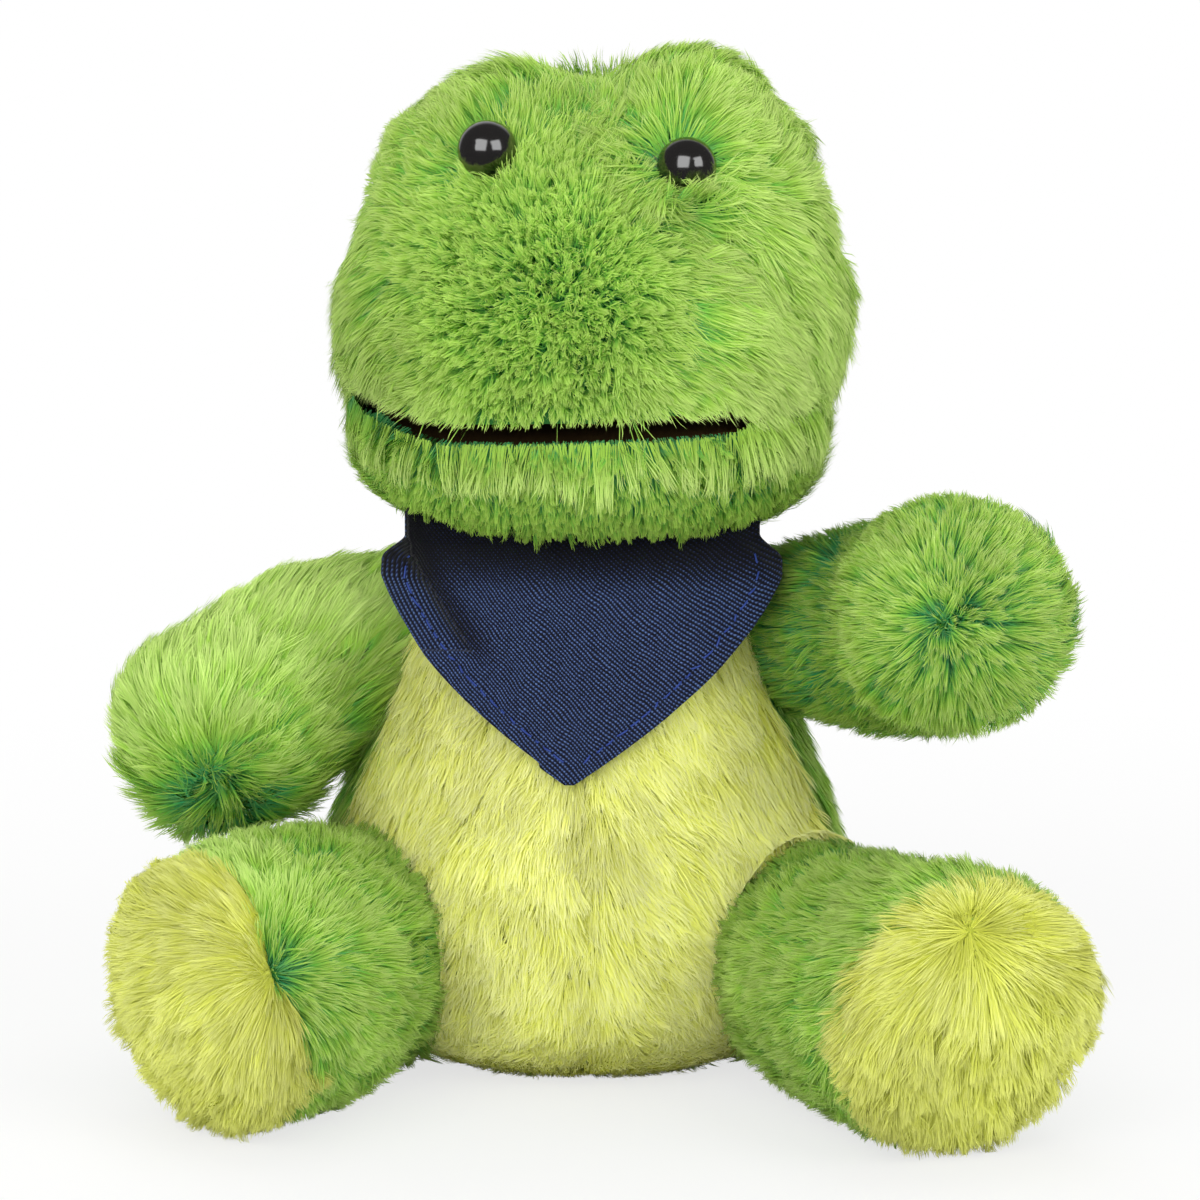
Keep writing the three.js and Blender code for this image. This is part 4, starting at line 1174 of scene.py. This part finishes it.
def knot(knit):
    """The tie behind the neck: a wrapped knot and its two hanging tails."""
    centre = arr(0, torso_half(107) * TORSO_FLAT + 6.6, BAND_TOP - 4.5)
    a, b = np.meshgrid(np.linspace(0, 2 * np.pi, 72, endpoint=False), np.linspace(0.03, np.pi - 0.03, 40))
    ripple = 1 + 0.09 * np.sin(5 * b + 2 * np.sin(a)) + 0.05 * np.sin(9 * b - a)
    ball = np.stack([np.cos(b), np.sin(b) * np.cos(a) * ripple, np.sin(b) * np.sin(a) * ripple], -1)
    ball = ball * arr(8, 3.7, 5)
    ball[..., 1:] *= (1 + 0.22 * hump(ball[..., 0], 2.6))[..., None]
    obj = knit_piece("bandana_knot_wrap", (centre + ball).reshape(-1, 3), grid_faces(*a.shape), knit,
                     (a * 0.05, b * 0.05))
    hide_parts("bandana_knot")
    u, down = np.meshgrid(np.linspace(-1, 1, 26), np.linspace(0, 1, 60))
    z = BAND_TOP - 5.8 - 26.5 * down
    start = np.maximum(0, 1 - 4 * down) ** 2
    waves = 0.8 * np.cos(np.pi * u) * (1 - 0.6 * down) + 0.5 * np.sin(6 * down)
    for side, name in ((-1, "right"), (1, "left")):
        x = side * 9 * down ** 0.7 + u * np.interp(down * 5, np.arange(6), TAIL_HALVES)
        fur = TORSO_FLAT * np.sqrt(np.maximum(torso_half(z) ** 2 - x ** 2, 1)) + 2.2
        grid = np.stack([x, fur * (1 - start) + centre[1] * start + waves, z], -1)
        verts, quads = solid_sheet(grid + arr(0, 1.1, 0), grid)
        tail = knit_piece(f"bandana_tail_{name}", verts, quads, knit, (x / UV_MM, z / UV_MM))


# Floor and light

FLOOR_HALF = 3000
LAMP_AWAY = 1.4
LAMP_AIM = Vector((0, 0, 0.11))
LAMPS = [("key", -20, 24, 1.2, 11.5), ("fill", 46, 22, 0.9, 6.5), ("top", 160, 78, 0.9, 5),
         ("back", 205, 30, 1, 5)]


def white_floor():
    """White to the camera apart from the object's shadow, and faint in mirrors."""
    material, tree, shader = new_material("floor_white")
    plug(tree, shader, {"Base Color": (0.85, 0.85, 0.85, 1), "Roughness": 0.9})
    ray = add(tree, "LightPath").outputs
    place = add(tree, "TexCoord").outputs["Object"]
    reach = add(tree, "VectorMath", {0: place}, operation="LENGTH").outputs["Value"]
    fade = add(tree, "MapRange", {"Value": reach, "From Min": 0.18, "From Max": 0.42, "To Min": 0.72})
    seen = {0: fade.outputs["Result"], 1: ray["Is Camera Ray"]}
    seen = add(tree, "Math", seen, operation="MULTIPLY").outputs[0]
    look = blend(tree, seen, shader.outputs[0], add(tree, "Emission").outputs[0])
    faint = add(tree, "Emission", {"Strength": 0.1}).outputs[0]
    look = blend(tree, ray["Is Glossy Ray"], look, faint)
    plug(tree, tree.nodes["Material Output"], {"Surface": look})
    corners = [[-1, -1, 0], [1, -1, 0], [1, 1, 0], [-1, 1, 0]]
    floor = make_mesh("floor", FLOOR_HALF * arr(*corners), np.array([[0, 1, 2, 3]]), material)


def white_world():
    """White to the camera; mirrors see it behind the frog, and a dim room elsewhere."""
    world = bpy.data.worlds.new("world")
    bpy.context.scene.world = world
    world.use_nodes = True
    tree = world.node_tree

    def sky(strength):
        return add(tree, "Background", {"Color": (1, 1, 1, 1), "Strength": strength}).outputs[0]

    ray = add(tree, "LightPath").outputs
    way = add(tree, "TexCoord").outputs["Generated"]
    behind = {"Value": add(tree, "SeparateXYZ", {0: way}).outputs["Y"], "From Min": 0.6, "From Max": 0.85}
    behind = add(tree, "MapRange", behind).outputs["Result"]
    mirrored = {0: ray["Is Glossy Ray"], 1: ray["Is Transmission Ray"]}
    mirrored = add(tree, "Math", mirrored, operation="MAXIMUM").outputs[0]
    look = blend(tree, mirrored, sky(0.55), blend(tree, behind, sky(0.1), sky(1)))
    look = blend(tree, ray["Is Camera Ray"], look, sky(1))
    plug(tree, tree.nodes["World Output"], {"Surface": look})


def lamps():
    """Area lamps by turn and rise in degrees, size in metres and power; two of them show in the eyes."""
    for name, turn, rise, size, power in LAMPS:
        data = bpy.data.lights.new(name, "AREA")
        data.size = size
        data.energy = power
        lamp = bpy.data.objects.new(name, data)
        bpy.context.scene.collection.objects.link(lamp)
        turn, rise = math.radians(turn), math.radians(rise)
        toward = Vector((math.sin(turn) * math.cos(rise), -math.cos(turn) * math.cos(rise), math.sin(rise)))
        lamp.location = LAMP_AIM + toward * LAMP_AWAY
        lamp.rotation_euler = (-toward).to_track_quat("-Z", "Y").to_euler()
        lamp.visible_glossy = name in ("key", "fill")


white_floor()
white_world()
lamps()
backings()
head_fur()
torso_fur()
for side in ("right", "left"):
    arm_fur(side)
    leg_fur(side)
eyes()
washers()
mouth()
bandana()

scene = bpy.context.scene
scene.view_settings.view_transform = "Standard"
